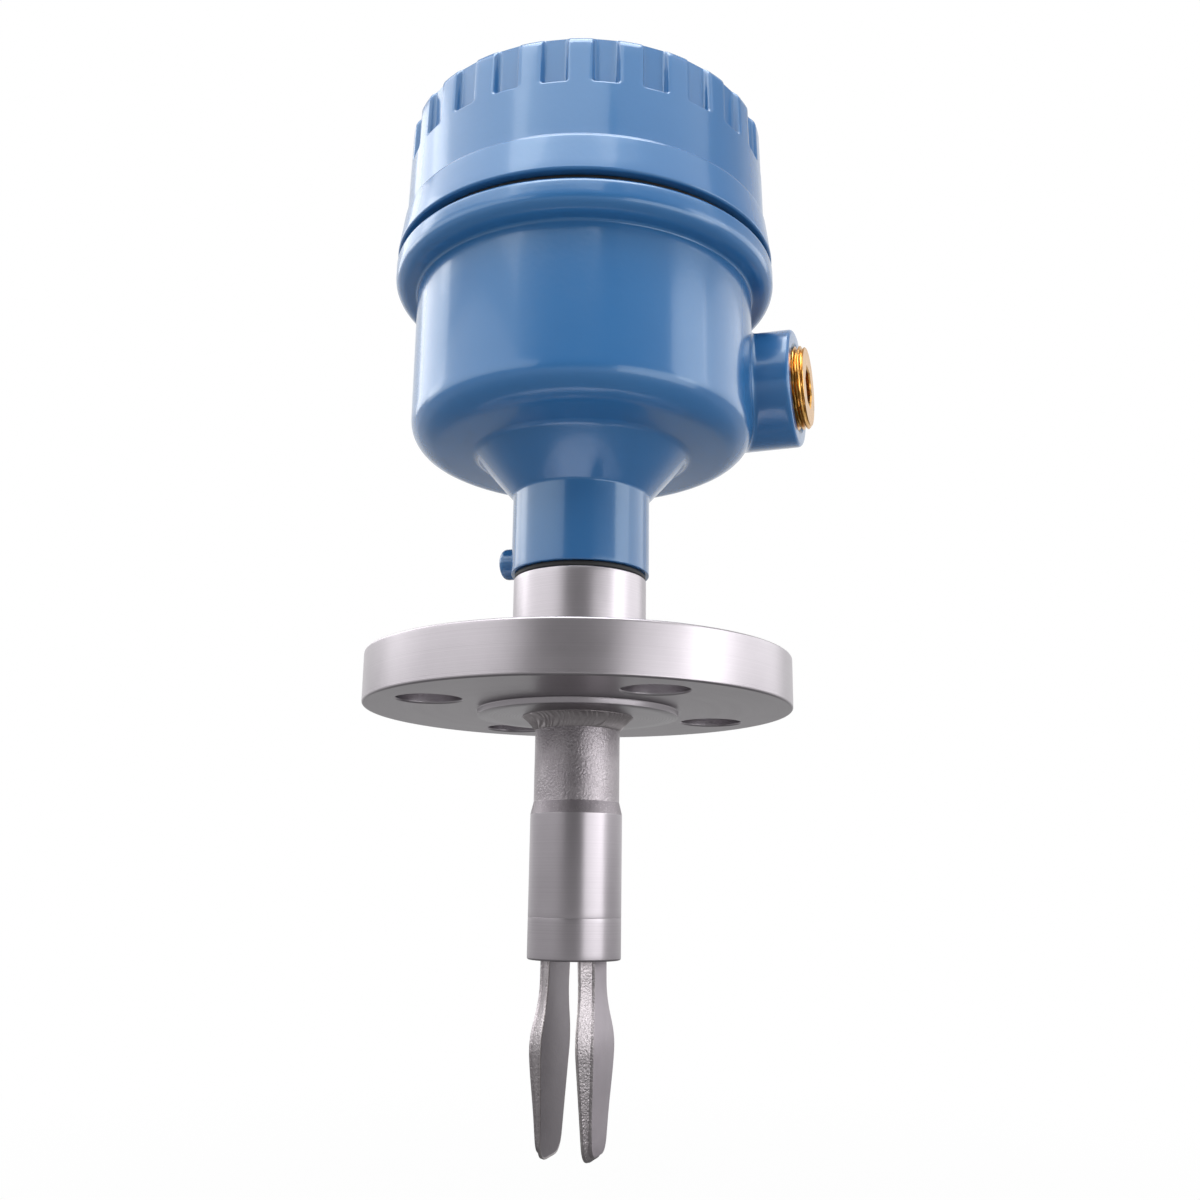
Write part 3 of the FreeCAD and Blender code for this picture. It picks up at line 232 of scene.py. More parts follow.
def turned_steel(name, dark, light, rough, lines, depth, gasket=False):
    made, place = new_finish(name)
    parts = [place.node("SeparateXYZ", {}, {"Vector": place}, axis) for axis in "XYZ"]
    radius = (parts[0] * parts[0] + parts[1] * parts[1]) ** 0.5
    along = radius + parts[2]
    fine = streaks(along, lines, 2)
    broad = streaks(along, lines * 9, 3)
    patches = noise(place, 11, 3)
    height = fine * 0.85 + broad * 0.15
    if gasket:
        ridges = radius.maths("SINE", radius * (2 * math.pi / GROOVE_PITCH))
        height = height * 0.2 + ridges * 0.6
    close_finish(place, {
        "Base Color": mixed(fine * 0.5 + patches * 0.5, paint(*dark), paint(*light)),
        "Metallic": 1.0,
        "Roughness": rough - 0.04 + 0.03 * broad + 0.06 * patches,
        "Normal": bumped(height, depth),
    })
    return made


turned = turned_steel("turned_steel", (160, 155, 160), (188, 183, 188), 0.33, 0.3, 0.012)
polished = turned_steel("polished_steel", (162, 156, 162), (184, 179, 184), 0.3, 0.35, 0.01)
gasket_face = turned_steel("gasket_face", (150, 145, 151), (174, 170, 174), 0.30, 0.2, 0.02, True)
finishes["stainless"] = turned
print("steel finishes:", turned.name, polished.name, gasket_face.name)

# %% [markdown]
# ## Blasted and cast steel
# The upper stem was blasted with shot after welding, so it is covered with fine dimples. The
# fork is an investment casting: its narrow sides and its ridge keep a rough skin with bright
# specks, while the broad faces were ground smooth. The weld and the scraped cone of the stem lie
# between the two. All seven differ only in shade, roughness and the size and depth of the grain,
# so one function makes them.

# %% Grained steel for the stem, the weld and the fork
def grained_steel(name, dark, light, rough, grain, depth, specks=0.0):
    made, place = new_finish(name)
    dimples = noise(place, grain, 4, 0.6)
    coarse = noise(place, grain * 4, 2)
    stains = noise(place, 7, 3)
    bright = stretch(noise(place, grain * 0.6, 2), 0.60, 0.72) * specks
    shade = mixed(stains * 0.6 + dimples * 0.4, paint(*dark), paint(*light))
    close_finish(place, {
        "Base Color": mixed(bright, shade, paint(240, 236, 238)),
        "Metallic": 1.0,
        "Roughness": rough - 0.1 + 0.2 * dimples - 0.15 * bright,
        "Normal": bumped(dimples * 0.65 + coarse * 0.35, depth),
    })
    return made


blasted = grained_steel("blasted_steel", (132, 125, 131), (190, 184, 188), 0.33, 0.55, 0.2, 0.15)
weld_metal = grained_steel("weld_metal", (176, 169, 172), (214, 208, 210), 0.42, 0.8, 0.03, 0.3)
cast_side = grained_steel("cast_side", (140, 133, 137), (204, 198, 201), 0.30, 0.5, 0.26, 0.3)
cast_ridge = grained_steel("cast_ridge", (156, 149, 150), (208, 202, 203), 0.32, 0.6, 0.13, 0.9)
scraped = grained_steel("scraped_steel", (136, 130, 135), (164, 158, 163), 0.5, 0.6, 0.08, 0.2)
# The tines' faces towards the gap take a darker copy of the ground steel, as painted shade between
# the tines; their backs take a lighter, rougher copy, as painted light.
gap_face_shaded = grained_steel("gap_face_shaded", (152, 145, 150), (178, 172, 178), 0.42, 0.8, 0.05)
back_face_lit = grained_steel("back_face_lit", (172, 165, 171), (198, 191, 198), 0.56, 0.8, 0.05)
print("grained finishes:", blasted.name, cast_side.name, gap_face_shaded.name)

# %% [markdown]
# ## Brass, zinc and spring steel
# The plug is turned brass, a warm yellow with slightly darker stains. The small screws inside are
# zinc-plated, a cold light grey, and the springs and the set screw are plain dark steel. They
# share one function: metal with a slight stain and a fine grain.

# %% Small metals
def small_metal(name, dark, light, rough, depth=0.01):
    made, place = new_finish(name)
    stain = noise(place, 2.2, 3)
    grain = noise(place, 0.25, 2)
    close_finish(place, {
        "Base Color": mixed(stain, paint(*dark), paint(*light)),
        "Metallic": 1.0,
        "Roughness": rough - 0.05 + 0.12 * grain,
        "Normal": bumped(grain, depth),
    })
    return made


finishes["brass"] = small_metal("brass", (196, 138, 62), (232, 184, 104), 0.22, 0.006)
finishes["zinc"] = small_metal("zinc", (168, 172, 178), (204, 208, 212), 0.30)
finishes["spring_steel"] = small_metal("spring_steel", (92, 94, 98), (134, 136, 140), 0.36)
bare_alloy = small_metal("bare_alloy", (170, 172, 174), (200, 202, 204), 0.34, 0.02)
print("small metals ready")

# %% [markdown]
# ## Plastics, rubber and the rest
# Moulded plastic has an eroded texture from its mould, rubber is dull with a dusty bloom, and
# fired ceramic is smooth with faint mottling. All are a base colour with a second shade, a
# roughness and a grain of the right size.

# %% Moulded and fired finishes
def moulded(name, dark, light, rough, grain, depth, coat=0.0):
    made, place = new_finish(name)
    texture = noise(place, grain, 3)
    tone = noise(place, grain * 14, 2)
    close_finish(place, {
        "Base Color": mixed(tone * 0.6 + texture * 0.4, paint(*dark), paint(*light)),
        "Roughness": rough - 0.08 + 0.16 * texture,
        "Coat Weight": coat,
        "Normal": bumped(texture, depth),
    })
    return made


for name, dark, light, rough, grain, depth, coat in (
        ("black_rubber", (20, 20, 22), (34, 34, 37), 0.62, 0.5, 0.02, 0.0),
        ("ptfe", (226, 228, 230), (244, 245, 246), 0.45, 0.9, 0.05, 0.0),
        ("grey_plastic", (92, 96, 102), (108, 112, 118), 0.5, 0.35, 0.02, 0.0),
        ("black_plastic", (24, 25, 28), (40, 41, 44), 0.42, 0.3, 0.015, 0.0),
        ("board_green", (18, 84, 52), (28, 104, 64), 0.35, 0.8, 0.01, 0.5),
        ("terminal_green", (40, 128, 74), (52, 146, 86), 0.4, 0.4, 0.015, 0.1),
        ("ceramic", (208, 200, 182), (228, 221, 206), 0.32, 0.6, 0.006, 0.2),
        ("insulator", (214, 214, 210), (234, 234, 230), 0.3, 0.7, 0.006, 0.2),
        ("potting", (52, 46, 42), (70, 62, 56), 0.4, 1.6, 0.04, 0.3),
        ("lead_red", (168, 30, 26), (190, 44, 38), 0.4, 0.5, 0.01, 0.1),
        ("lamp_red", (190, 28, 24), (220, 52, 44), 0.18, 1.4, 0.004, 0.6),
        ("label_white", (222, 224, 226), (238, 240, 241), 0.5, 0.25, 0.006, 0.0)):
    finishes[name] = moulded(name, dark, light, rough, grain, depth, coat)
print(len(finishes), "finishes by slot")

# %% [markdown]
# ## Carry the finishes to the measured pieces
# Pieces inside the head keep their measured shape. Each one names the slot of its finish, and
# only that slot's material is changed.

# %% Finish the measured pieces
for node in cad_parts.values():
    for place in node.material_slots:
        place.material = finishes[place.material.name.split(".")[0]]
print("finished", len(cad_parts), "measured pieces")

# %% [markdown]
# ## From sections to solids
# Most of this object was turned on a lathe, so its surfaces are a section carried round an axis.
# A section is a list of corners, and a corner can carry a radius, as on a workshop drawing.
# Fine steps along the section matter as much as fine steps round it: the studio's reflection
# shows every flat spot.

# %% Sections with rounded corners
def section(corners, longest=1.2, steps=7):
    """A closed section as points in mm: corners (across, up) or (across, up, radius)."""
    path = []
    for k, corner in enumerate(corners):
        point = Vector(corner[:2])
        before = (Vector(corners[k - 1][:2]) - point).normalized()
        after = (Vector(corners[(k + 1) % len(corners)][:2]) - point).normalized()
        if len(corner) == 2:
            path.append(point)
            continue
        half = before.angle(after) / 2
        centre = point + (before + after).normalized() * (corner[2] / math.sin(half))
        reach = corner[2] / math.tan(half)
        first = point + before * reach - centre
        last = point + after * reach - centre
        sweep = first.angle(last)
        for step in range(steps + 1):
            share = step / steps
            path.append(centre + (first * math.sin((1 - share) * sweep)
                                  + last * math.sin(share * sweep)) / math.sin(sweep))
    return finer(path, longest)


def finer(path, longest, heights=(-math.inf, math.inf), radii=(-math.inf, math.inf)):
    """Divide the runs of a section into parts of a length, all or those in a band."""
    divided = []
    for point, following in zip(path, path[1:] + path[:1]):
        middle = (point + following) / 2
        in_band = heights[0] < middle[1] < heights[1] and radii[0] < middle[0] < radii[1]
        parts = math.ceil((following - point).length / longest) if in_band else 1
        divided += [point.lerp(following, part / parts) for part in range(max(1, parts))]
    return divided


def ring_faces(first, second):
    """Faces between two closed rings of point numbers."""
    count = len(first)
    return [(first[k], first[(k + 1) % count], second[(k + 1) % count], second[k])
            for k in range(count)]


def joined(groups):
    """The faces of several groups in one list."""
    return [face for group in groups for face in group]


def stack_bands(rings):
    """A band of faces between each ring of a stack and the next one."""
    return [ring_faces(first, second) for first, second in zip(rings, rings[1:])]


print("a rounded square has", len(section([(0, 0, 1), (9, 0, 1), (9, 9, 1), (0, 9, 1)])), "points")

# %% [markdown]
# ## Making a piece
# A piece is a mesh of points in mm and faces sorted by finish. Its faces are turned outwards,
# and edges sharper than 32 degrees stay sharp while the rest is shaded smooth. Then it is tied
# to the body that it moves with and takes the place of its measured node.

# %% A mesh becomes a piece
SHARP_EDGE = math.radians(32)


def tidy_mesh(mesh):
    """Drop unused points, turn the faces outwards and shade them."""
    work = bmesh.new()
    work.from_mesh(mesh)
    loose = [point for point in work.verts if not point.link_faces]
    bmesh.ops.delete(work, geom=loose, context="VERTS")
    bmesh.ops.recalc_face_normals(work, faces=work.faces)
    work.to_mesh(mesh)
    work.free()
    mesh.polygons.foreach_set("use_smooth", [True] * len(mesh.polygons))
    mesh.set_sharp_from_angle(angle=SHARP_EDGE)


def new_shape(name, points, groups):
    """An object from points in mm and a list of (finish, faces)."""
    mesh = bpy.data.meshes.new(name)
    faces = joined(group for _, group in groups)
    mesh.from_pydata([Vector(point) / 1000 for point in points], [], faces)
    finish_numbers = []
    for number, (finish, group) in enumerate(groups):
        mesh.materials.append(finish)
        finish_numbers += [number] * len(group)
    mesh.polygons.foreach_set("material_index", finish_numbers)
    tidy_mesh(mesh)
    shape = bpy.data.objects.new(name, mesh)
    bpy.context.scene.collection.objects.link(shape)
    return shape


def new_piece(name, points, groups, body, slot, *nodes):
    """A shape that moves with a body and takes the place of its measured nodes."""
    piece = new_shape(name, points, groups)
    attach(piece, body)
    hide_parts(*nodes)
    triangles = sum(len(face.vertices) - 2 for face in piece.data.polygons)
    print(name, "has", len(points), "points and", triangles, "triangles")


print("pieces can be made")

# %% [markdown]
# ## Turning
# A lathe carries a section round an axis. In the mesh that is a grid: one row for each point of
# the section, one column for each angle. A row's radius can be changed from angle to angle, which
# is how the threads and the cover's pockets are cut later.

# %% Turn a section round an axis
# Points of a section that lie nearer to the axis than this are its core, in mm.
CORE_RADIUS = 0.6


def even_angles(count):
    return [2 * math.pi * k / count for k in range(count)]


def round_spot(radius, angle, middle=(0, 0)):
    """A flat point at a radius and an angle from a middle."""
    return middle[0] + radius * math.cos(angle), middle[1] + radius * math.sin(angle)


def turned_grid(path, angles, shape=None):
    """Points of a section carried round Z; shape may change a point's radius."""
    return [(*round_spot(shape(spot, angle) if shape else spot[0], angle), spot[1])
            for spot in path for angle in angles]


def grid_faces(rows, columns):
    """All faces of a closed section carried all the way round, row by row."""
    return [ring_faces(range(row * columns, (row + 1) * columns),
                       range((row + 1) % rows * columns, ((row + 1) % rows + 1) * columns))
            for row in range(rows)]


def disc_faces(path, columns):
    """Grid faces of a section that ends in a thin core at the axis, and discs that close it."""
    core = [spot[0] < CORE_RADIUS for spot in path]
    core_after = core[1:] + core[:1]
    rows = [[] if core[k] and core_after[k] else row
            for k, row in enumerate(grid_faces(len(path), columns))]
    discs = [tuple(range(k * columns, (k + 1) * columns)) for k in range(len(path))
             if core[k] and not (core[k - 1] and core_after[k])]
    return rows, discs


print("a quarter turn ends at", *(round(part, 3) for part in round_spot(1, math.pi / 2)))

# %% [markdown]
# ## Holes in a surface
# A bolt hole in a flat face and a boss on a round wall are the same task: a loop of points has
# to become part of a surface. Here the area between loops is filled with well-shaped triangles,
# worked out on the flat or on the unrolled wall. A boolean would be quicker to write, but it
# leaves thin slivers that show in glossy paint.

# %% Fill between loops
def inside(point, loop):
    """True if a flat point lies inside a closed loop of flat points."""
    found = False
    for (ax, ay), (bx, by) in zip(loop, loop[1:] + loop[:1]):
        if (ay > point[1]) != (by > point[1]):
            found ^= point[0] < (bx - ax) * (point[1] - ay) / (by - ay) + ax
    return found


def fill(flat, outer, holes, extra=()):
    """Triangles of point numbers between the outer loop and the holes, through extra points."""
    loops = [outer, *holes]
    numbers = [number for loop in loops for number in loop] + list(extra)
    local = {number: k for k, number in enumerate(numbers)}
    edges = [(local[number], local[following]) for loop in loops
             for number, following in zip(loop, loop[1:] + loop[:1])]
    found = delaunay_2d_cdt([Vector(flat[number]) for number in numbers], edges, [], 0, 1e-7)
    spots, triangles, sources = found[0], found[2], found[3]
    border, *openings = [[flat[number] for number in loop] for loop in loops]
    kept = []
    for triangle in triangles:
        centre = sum((spots[k] for k in triangle), Vector((0, 0))) / 3
        if inside(centre, border) and not any(inside(centre, hole) for hole in openings):
            kept.append(tuple(numbers[sources[k][0]] for k in triangle))
    return kept


class Points(list):
    """Points in mm that hand out their numbers."""

    def loop(self, places):
        """Add points and return their numbers."""
        self.extend(places)
        return list(range(len(self) - len(places), len(self)))

    def circle(self, radius, height, count, middle=(0, 0)):
        return self.loop([(*round_spot(radius, angle, middle), height)
                          for angle in even_angles(count)])

    def flat(self, first, second):
        """Each point seen along one axis, by the numbers of the other two."""
        return [(point[first], point[second]) for point in self]


print("loops ready")

# %% [markdown]
# ## Flange
# A one-inch flange with a raised face, four bolt holes and broken edges. The raised face carries
# fine grooves that bite into a gasket, and a shallow recess for the weld. Each section is a short
# table in mm, in the order in which a lathe tool would pass along it.

# %% Sections of the flange
FLANGE_RADIUS = 54
UNDERSIDE = 1.6
TOP_SIDE = 14.3
RIM_HEIGHTS = (5.4, 8, 10.6)
BOLT_CIRCLE = 39.7
BOLT_HOLE = 7.95
HOLE_AROUND = 72
# Broken edge of the rim: radius, and distance from the flat side.
BROKEN_EDGE = ((53.2, 0), (53.5, 0), (53.69, 0.04), (53.85, 0.15), (53.96, 0.31), (54, 0.5),
               (54, 0.7))
# From the underside over the raised face and its recess to the bore: radius, and height.
RAISED_FACE = ((26.2, 1.6), (25.9, 1.6), (25.5, 1.45), (25.4, 1.1), (25.4, 0.25), (25.33, 0.07),
               (25.15, 0), (22, 0), (18, 0), (14, 0), (14, 0.3), (10.7, 0.3), (10.7, 14.3))
GROOVED_BANDS = (6, 9)
# Wall of a bolt hole with its broken edges: how much wider than the hole, and height.
HOLE_WALL = ((0.5, 1.6), (0.3, 1.6), (0.04, 1.85), (0, 2), (0, 2.2), (0, 8), (0, 13.7), (0, 13.9),
             (0.04, 14.05), (0.3, 14.3), (0.5, 14.3))
print("flange of", TOP_SIDE, "mm with", len(RAISED_FACE), "steps to its bore")

# %% [markdown]
# The rim is built as rings, and the two flat sides are filled between the rings and the holes.

# %% Flange
def make_flange():
    points = Points()
    around = 256
    rim = [points.circle(radius, UNDERSIDE + rise, around) for radius, rise in BROKEN_EDGE]
    rim += [points.circle(FLANGE_RADIUS, height, around) for height in RIM_HEIGHTS]
    rim += [points.circle(radius, TOP_SIDE - rise, around) for radius, rise in BROKEN_EDGE[::-1]]
    face = [points.circle(radius, height, around) for radius, height in RAISED_FACE]
    sides = joined(stack_bands(rim))
    bands = stack_bands(face)
    first, last = GROOVED_BANDS
    lower, upper = [], []
    for k in range(4):
        middle = round_spot(BOLT_CIRCLE, math.radians(45 + 90 * k))
        rings = [points.circle(BOLT_HOLE + wider, height, HOLE_AROUND, middle)
                 for wider, height in HOLE_WALL]
        sides += joined(stack_bands(rings))
        lower.append(rings[0])
        upper.append(rings[-1])
    flat = points.flat(0, 1)
    sides += fill(flat, rim[0], [face[0], *lower])
    sides += fill(flat, rim[-1], [face[-1], *upper]) + joined(bands[:first] + bands[last:])
    new_piece("flange_dressed", points,
              [(turned, sides), (gasket_face, joined(bands[first:last]))],
              "process_side", "stainless", "flange")


make_flange()

# %% [markdown]
# ## Weld bead
# A hand-made fillet weld freezes in overlapping crescents, one for each drop of filler. The bead
# is a small concave section carried round the stem. A wave that bends backwards across the
# section lifts each crescent by a few tenths of a millimetre, and slow waves round the stem make
# the crescents as uneven as a hand leaves them.

# %% Weld bead
CRESCENTS = 58
CRESCENT_STEPS = 12
BEAD_FOOT = 0.28
# Concave face of the bead from the flange to the stem: radius, and height.
BEAD_FACE = ((13.95, BEAD_FOOT), (13.9, 0), (13.6, -0.1), (13.2, -0.3), (12.75, -0.62),
             (12.3, -0.98), (11.9, -1.4), (11.55, -1.85), (11.28, -2.3), (11.05, -2.75),
             (10.85, -3.15), (10.66, -3.5))


def make_weld():
    path = [Vector(spot) for spot in (*BEAD_FACE, (10.66, BEAD_FOOT))]
    path = finer(path, 0.28, (-3.6, 0.1), (10.67, 14))
    last = len(path) - 2
    angles = even_angles(CRESCENTS * CRESCENT_STEPS)
    points = []
    for row, spot in enumerate(path):
        share = row / last
        swell = math.sin(math.pi * min(1, share)) ** 0.6 if row < last else 0
        for angle in angles:
            wander = 0.5 * math.sin(5 * angle + 1) + 0.35 * math.sin(13 * angle)
            phase = CRESCENTS * angle / (2 * math.pi) + 3.2 * (share - 0.45) ** 2 + wander
            cycle = 2 * math.pi * phase
            wave = 0.5 + 0.5 * math.sin(cycle) - 0.2 * math.sin(2 * cycle)
            lift = swell * (0.12 + 0.26 * wave * (1 + 0.5 * math.sin(3 * angle + 2)))
            points.append((*round_spot(spot[0] + 0.6 * lift, angle), spot[1] - lift))
    faces = joined(grid_faces(len(path), len(angles)))
    new_piece("weld_bead_dressed", points, [(weld_metal, faces)],
              "process_side", "stainless", "weld_bead")


make_weld()

# %% [markdown]
# ## Stem
# The tube was blasted after welding and then turned down to a smooth sleeve at its lower end, so
# one section carries three finishes: dimpled tube, a coarsely turned cone, polished sleeve.
# Splitting the faces by height gives each its own material with a clean border.

# %% Stem
STEM_AROUND = 160
STEM_BORE = 8.5
TUBE_RADIUS = 10.65
STEM_TOP = 26.3
CONE_TOP = -21.5
SLEEVE_RADIUS = 11.4
SLEEVE_TOP = -24.3
SEAM = -48.9


def make_stem():
    path = section([(STEM_BORE, SEAM), (SLEEVE_RADIUS, SEAM, 0.06),
                    (SLEEVE_RADIUS, SLEEVE_TOP, 0.12), (TUBE_RADIUS, -21.2, 0.6),
                    (TUBE_RADIUS, STEM_TOP), (STEM_BORE, STEM_TOP)])
    tube, cone, sleeve = [], [], []
    for spot, row in zip(path, grid_faces(len(path), STEM_AROUND)):
        if spot[1] >= CONE_TOP:
            tube += row
        elif spot[1] >= SLEEVE_TOP + 0.01:
            cone += row
        else:
            sleeve += row
    new_piece("stem_dressed", turned_grid(path, even_angles(STEM_AROUND)),
              [(blasted, tube), (scraped, cone), (polished, sleeve)],
              "process_side", "stainless", "stem")


make_stem()

# %% [markdown]
# ## Fork
# Two tines stand on the closed end of the sleeve. Each is one casting: a broad ground face
# towards the gap, a smaller one at the back, and rough slanted sides that widen at the shoulder
# and taper along the blade. The face towards the gap is coloured darker, as painted shade between
# the tines, and the back lighter and rougher, as painted light. The outline of each broad face is
# a short table of widths and depths in mm, softened at every corner.

# %% Outline of a tine
FRONT_DEPTHS = (58.05, 67, 77, 86, 103.3)
BACK_DEPTHS = (58.05, 67, 77, 86, 102.5)
FRONT_WIDTHS = (14.6, 14.6, 21, 18.4, 13.6)
BACK_WIDTHS = (9.4, 9.4, 17.2, 15.2, 10.6)
# How far a corner's curve reaches back along one side and ahead along the next.
ROUNDING = (0.4, 0.4)
TIP_ROUNDING = (0.24, 0.62)
ROUNDING_STEPS = 20


def whole_outline(widths, depths):
    """Outline of a broad face from its root round the tip, as (half width, height)."""
    corners = [Vector((width / 2, -depth)) for width, depth in zip(widths, depths)]
    corners.append(Vector((0, -depths[-1])))
    side = [corners[0].lerp(corners[1], k / 4) for k in range(3)]
    for before, corner, after in zip(corners, corners[1:], corners[2:]):
        tip = after[0] == 0
        back_reach, ahead_reach = TIP_ROUNDING if tip else ROUNDING
        for step in range(ROUNDING_STEPS + 1):
            share = step / ROUNDING_STEPS
            back = back_reach * (1 - share) ** 2
            ahead = ahead_reach * share ** 2
            side.append(before * back + after * ahead + corner * (1 - back - ahead))
        side.append(after if tip else corner.lerp(after, 0.5))
    return side + [Vector((-spot[0], spot[1])) for spot in side[-2::-1]]


front_outline = whole_outline(FRONT_WIDTHS, FRONT_DEPTHS)
back_outline = whole_outline(BACK_WIDTHS, BACK_DEPTHS)
print("a tine's outline has", len(front_outline), "points")

# %% [markdown]
# The two outlines are joined by loops. Each is given as a share of the way through the tine, a
# distance further inwards and a distance out from its side. The first ones rise over the fine
# ridge that is left where the halves of the mould met, the last ones round the back edge. The
# gap widens towards the tips, and the back bulges at the shoulder.

# %% Loops of a tine
SLEEVE_END = 58.8
SHOULDER = 78
EDGE_LOOPS = ((0, 0, -0.5), (0, 0, -0.28), (0, -0.07, -0.1), (0, -0.02, 0.09), (0, 0.16, 0.13),
              (0, 0.34, 0.02), (0, 0.7, 0), (0.5, 0, 0), (1, -0.8, 0), (1, -0.35, -0.05),
              (1, -0.1, -0.2), (1, 0, -0.5))
RIDGE_BANDS = (1, 5)


def gap_side(depth):
    """Distance of a tine's broad face from the middle of the fork."""
    return 3.5 + 1.6 * (depth - SLEEVE_END) / 45


def back_side(depth):
    """Distance of a tine's back from the middle of the fork."""
    spread = 8 if depth < SHOULDER else 14
    return 7 + 1.05 * math.exp(-((depth - SHOULDER) / spread) ** 2)


def tine_loops(points, sign):
    """Add the loops of one tine, from the face at the gap to its back."""
    last = len(front_outline) - 1
    loops = []
    for share, inwards, out in EDGE_LOOPS:
        places = []
        for k, front in enumerate(front_outline):
            along = front_outline[min(k + 1, last)] - front_outline[max(k - 1, 0)]
            normal = Vector((-along[1], along[0])).normalized()
            spot = front.lerp(back_outline[k], share) + normal * out
            if k in (0, last):
                spot[1] = front[1]
            gap, back = gap_side(-front[1]), back_side(-front[1])
            places.append((sign * (gap + (back - gap) * share + inwards), spot[0], spot[1]))
        loops.append(points.loop(places))
    return loops


def make_tine(sign):
    points = Points()
    loops = tine_loops(points, sign)
    bands = stack_bands(loops)
    flat = points.flat(1, 2)
    first, last = RIDGE_BANDS
    return points, [(gap_face_shaded, fill(flat, loops[0], []) + bands[0]),
                    (back_face_lit, fill(flat, loops[-1], []) + bands[-1]),
                    (cast_ridge, joined(bands[first:last])),
                    (cast_side, joined(bands[last:-1]))]


print("tines can be made")

# %% [markdown]
# The closed end of the sleeve is turned. Both tines stand a little way inside it, and a boolean
# union makes one skin of the three, as they are one piece of metal. The exact solver keeps every
# face's own finish.

# %% Fork
DIAPHRAGM_TOP = -57.3
CUP_CORE = 0.4


def make_cup():
    """The closed end of the sleeve, as a section carried round the axis."""
    path = section([(STEM_BORE, SEAM), (STEM_BORE, DIAPHRAGM_TOP), (CUP_CORE, DIAPHRAGM_TOP),
                    (CUP_CORE, -SLEEVE_END), (SLEEVE_RADIUS, -SLEEVE_END, 0.5),
                    (SLEEVE_RADIUS, SEAM, 0.06)])
    rows, discs = disc_faces(path, STEM_AROUND)
    points = turned_grid(path, even_angles(STEM_AROUND))
    return points, [(polished, joined(rows) + discs)]


def make_fork():
    cup = new_shape("fork_dressed", *make_cup())
    for sign in (1, -1):
        tine = new_shape("tine", *make_tine(sign))
        union = cup.modifiers.new("union", "BOOLEAN")
        union.operation = "UNION"
        union.solver = "EXACT"
        union.object = tine
        union.material_mode = "TRANSFER"
        graph = bpy.context.evaluated_depsgraph_get()
        whole = bpy.data.meshes.new_from_object(cup.evaluated_get(graph))
        cup.modifiers.clear()
        cup.data = whole
        bpy.data.objects.remove(tine)
    tidy_mesh(cup.data)
    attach(cup, "process_side")
    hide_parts("fork")
    print("fork has", len(cup.data.polygons), "faces and", len(cup.data.materials), "finishes")


make_fork()

# %% [markdown]
# ## Collar and seals
# The collar is the turned steel ring that the head stands on. A thin black seal lies between it
# and the painted neck, and a thicker one between the rim of the bowl and the cover. Both seals
# bulge slightly where they are squeezed, which catches a thin line of light.

# %% Collar, neck seal and cover seal
def make_turned(name, corners, finish, body, slot, node, around=192, longest=1.2):
    path = section(corners, longest)
    new_piece(name, turned_grid(path, even_angles(around)),
              [(finish, joined(grid_faces(len(path), around)))], body, slot, node)


rubber = finishes["black_rubber"]
make_turned("collar_dressed",
            [(10.7, 14.3), (17.15, 14.3, 0.2), (17.15, 35.5, 0.4), (13.92, 35.5), (13.92, 57, 0.4),
             (8.5, 57), (8.5, 26.35), (10.7, 26.35)],
            turned, "process_side", "stainless", "collar")
make_turned("neck_seal_dressed", [(14.5, 35.5), (17, 35.5, 0.45), (17, 36.9, 0.45), (14.5, 36.9)],
            rubber, "process_side", "black_rubber", "neck_seal", 192, 0.5)
make_turned("cover_ring_dressed",
            [(45, 121.3, 0.3), (48.9, 121.3, 0.6), (48.9, 123.2, 0.6), (45, 123.2, 0.3)],
            rubber, "cover_carrier", "black_rubber", "cover_ring", 256, 0.6)

# %% [markdown]
# ## Threads
# The cover screws into the bowl with a pitch of 2 mm. A thread is the same section all round,
# shifted along the axis as it turns, so the depth at a point depends on its height minus its
# share of a turn. The depth fades out at both ends of the thread, as a real one runs out.

# %% Thread depth
COVER_PITCH = 2
RUN_OUT = 0.6


def thread_depth(height, angle, low, high, depth):
    """How far a thread's flank lies back at this height and angle."""
    if not low < height < high:
        return 0.0
    turn_share = (height / COVER_PITCH - angle / (2 * math.pi)) % 1
    fade = min(1, (height - low) / RUN_OUT, (high - height) / RUN_OUT)
    return depth * fade * min(1, max(0, 1.6 * (1 - abs(2 * turn_share - 1)) - 0.3))


print("thread at its deepest:", thread_depth(115, 0, 107.5, 121, 0.6), "mm")

# %% [markdown]
# ## Housing
# The head is one casting: neck, cone, bowl and rim, with a boss for the cable and a small one
# for the set screw. The turned section gives the body. Each boss is a stack of loops that starts
# on the wall with a small fillet, and the wall is opened on its unrolled surface to meet it. The
# bore goes on through the wall to a second opening inside the bowl.

# %% Open a round wall for a boss
AROUND = 288
# Free space left round a boss for the triangles between it and the grid.
FREE_COLUMNS = 3
FREE_HEIGHT = 2.5
FREE_SPACE = 0.6


def wall_radius(path, rows, height):
    """Radius of the turned wall at a height, from the section's rows."""
    for row, following in zip(rows, rows[1:]):
        low, high = path[row][1], path[following][1]
        if min(low, high) <= height <= max(low, high) and low != high:
            share = (height - low) / (high - low)
            return path[row][0] + share * (path[following][0] - path[row][0])
    return path[rows[0]][0]


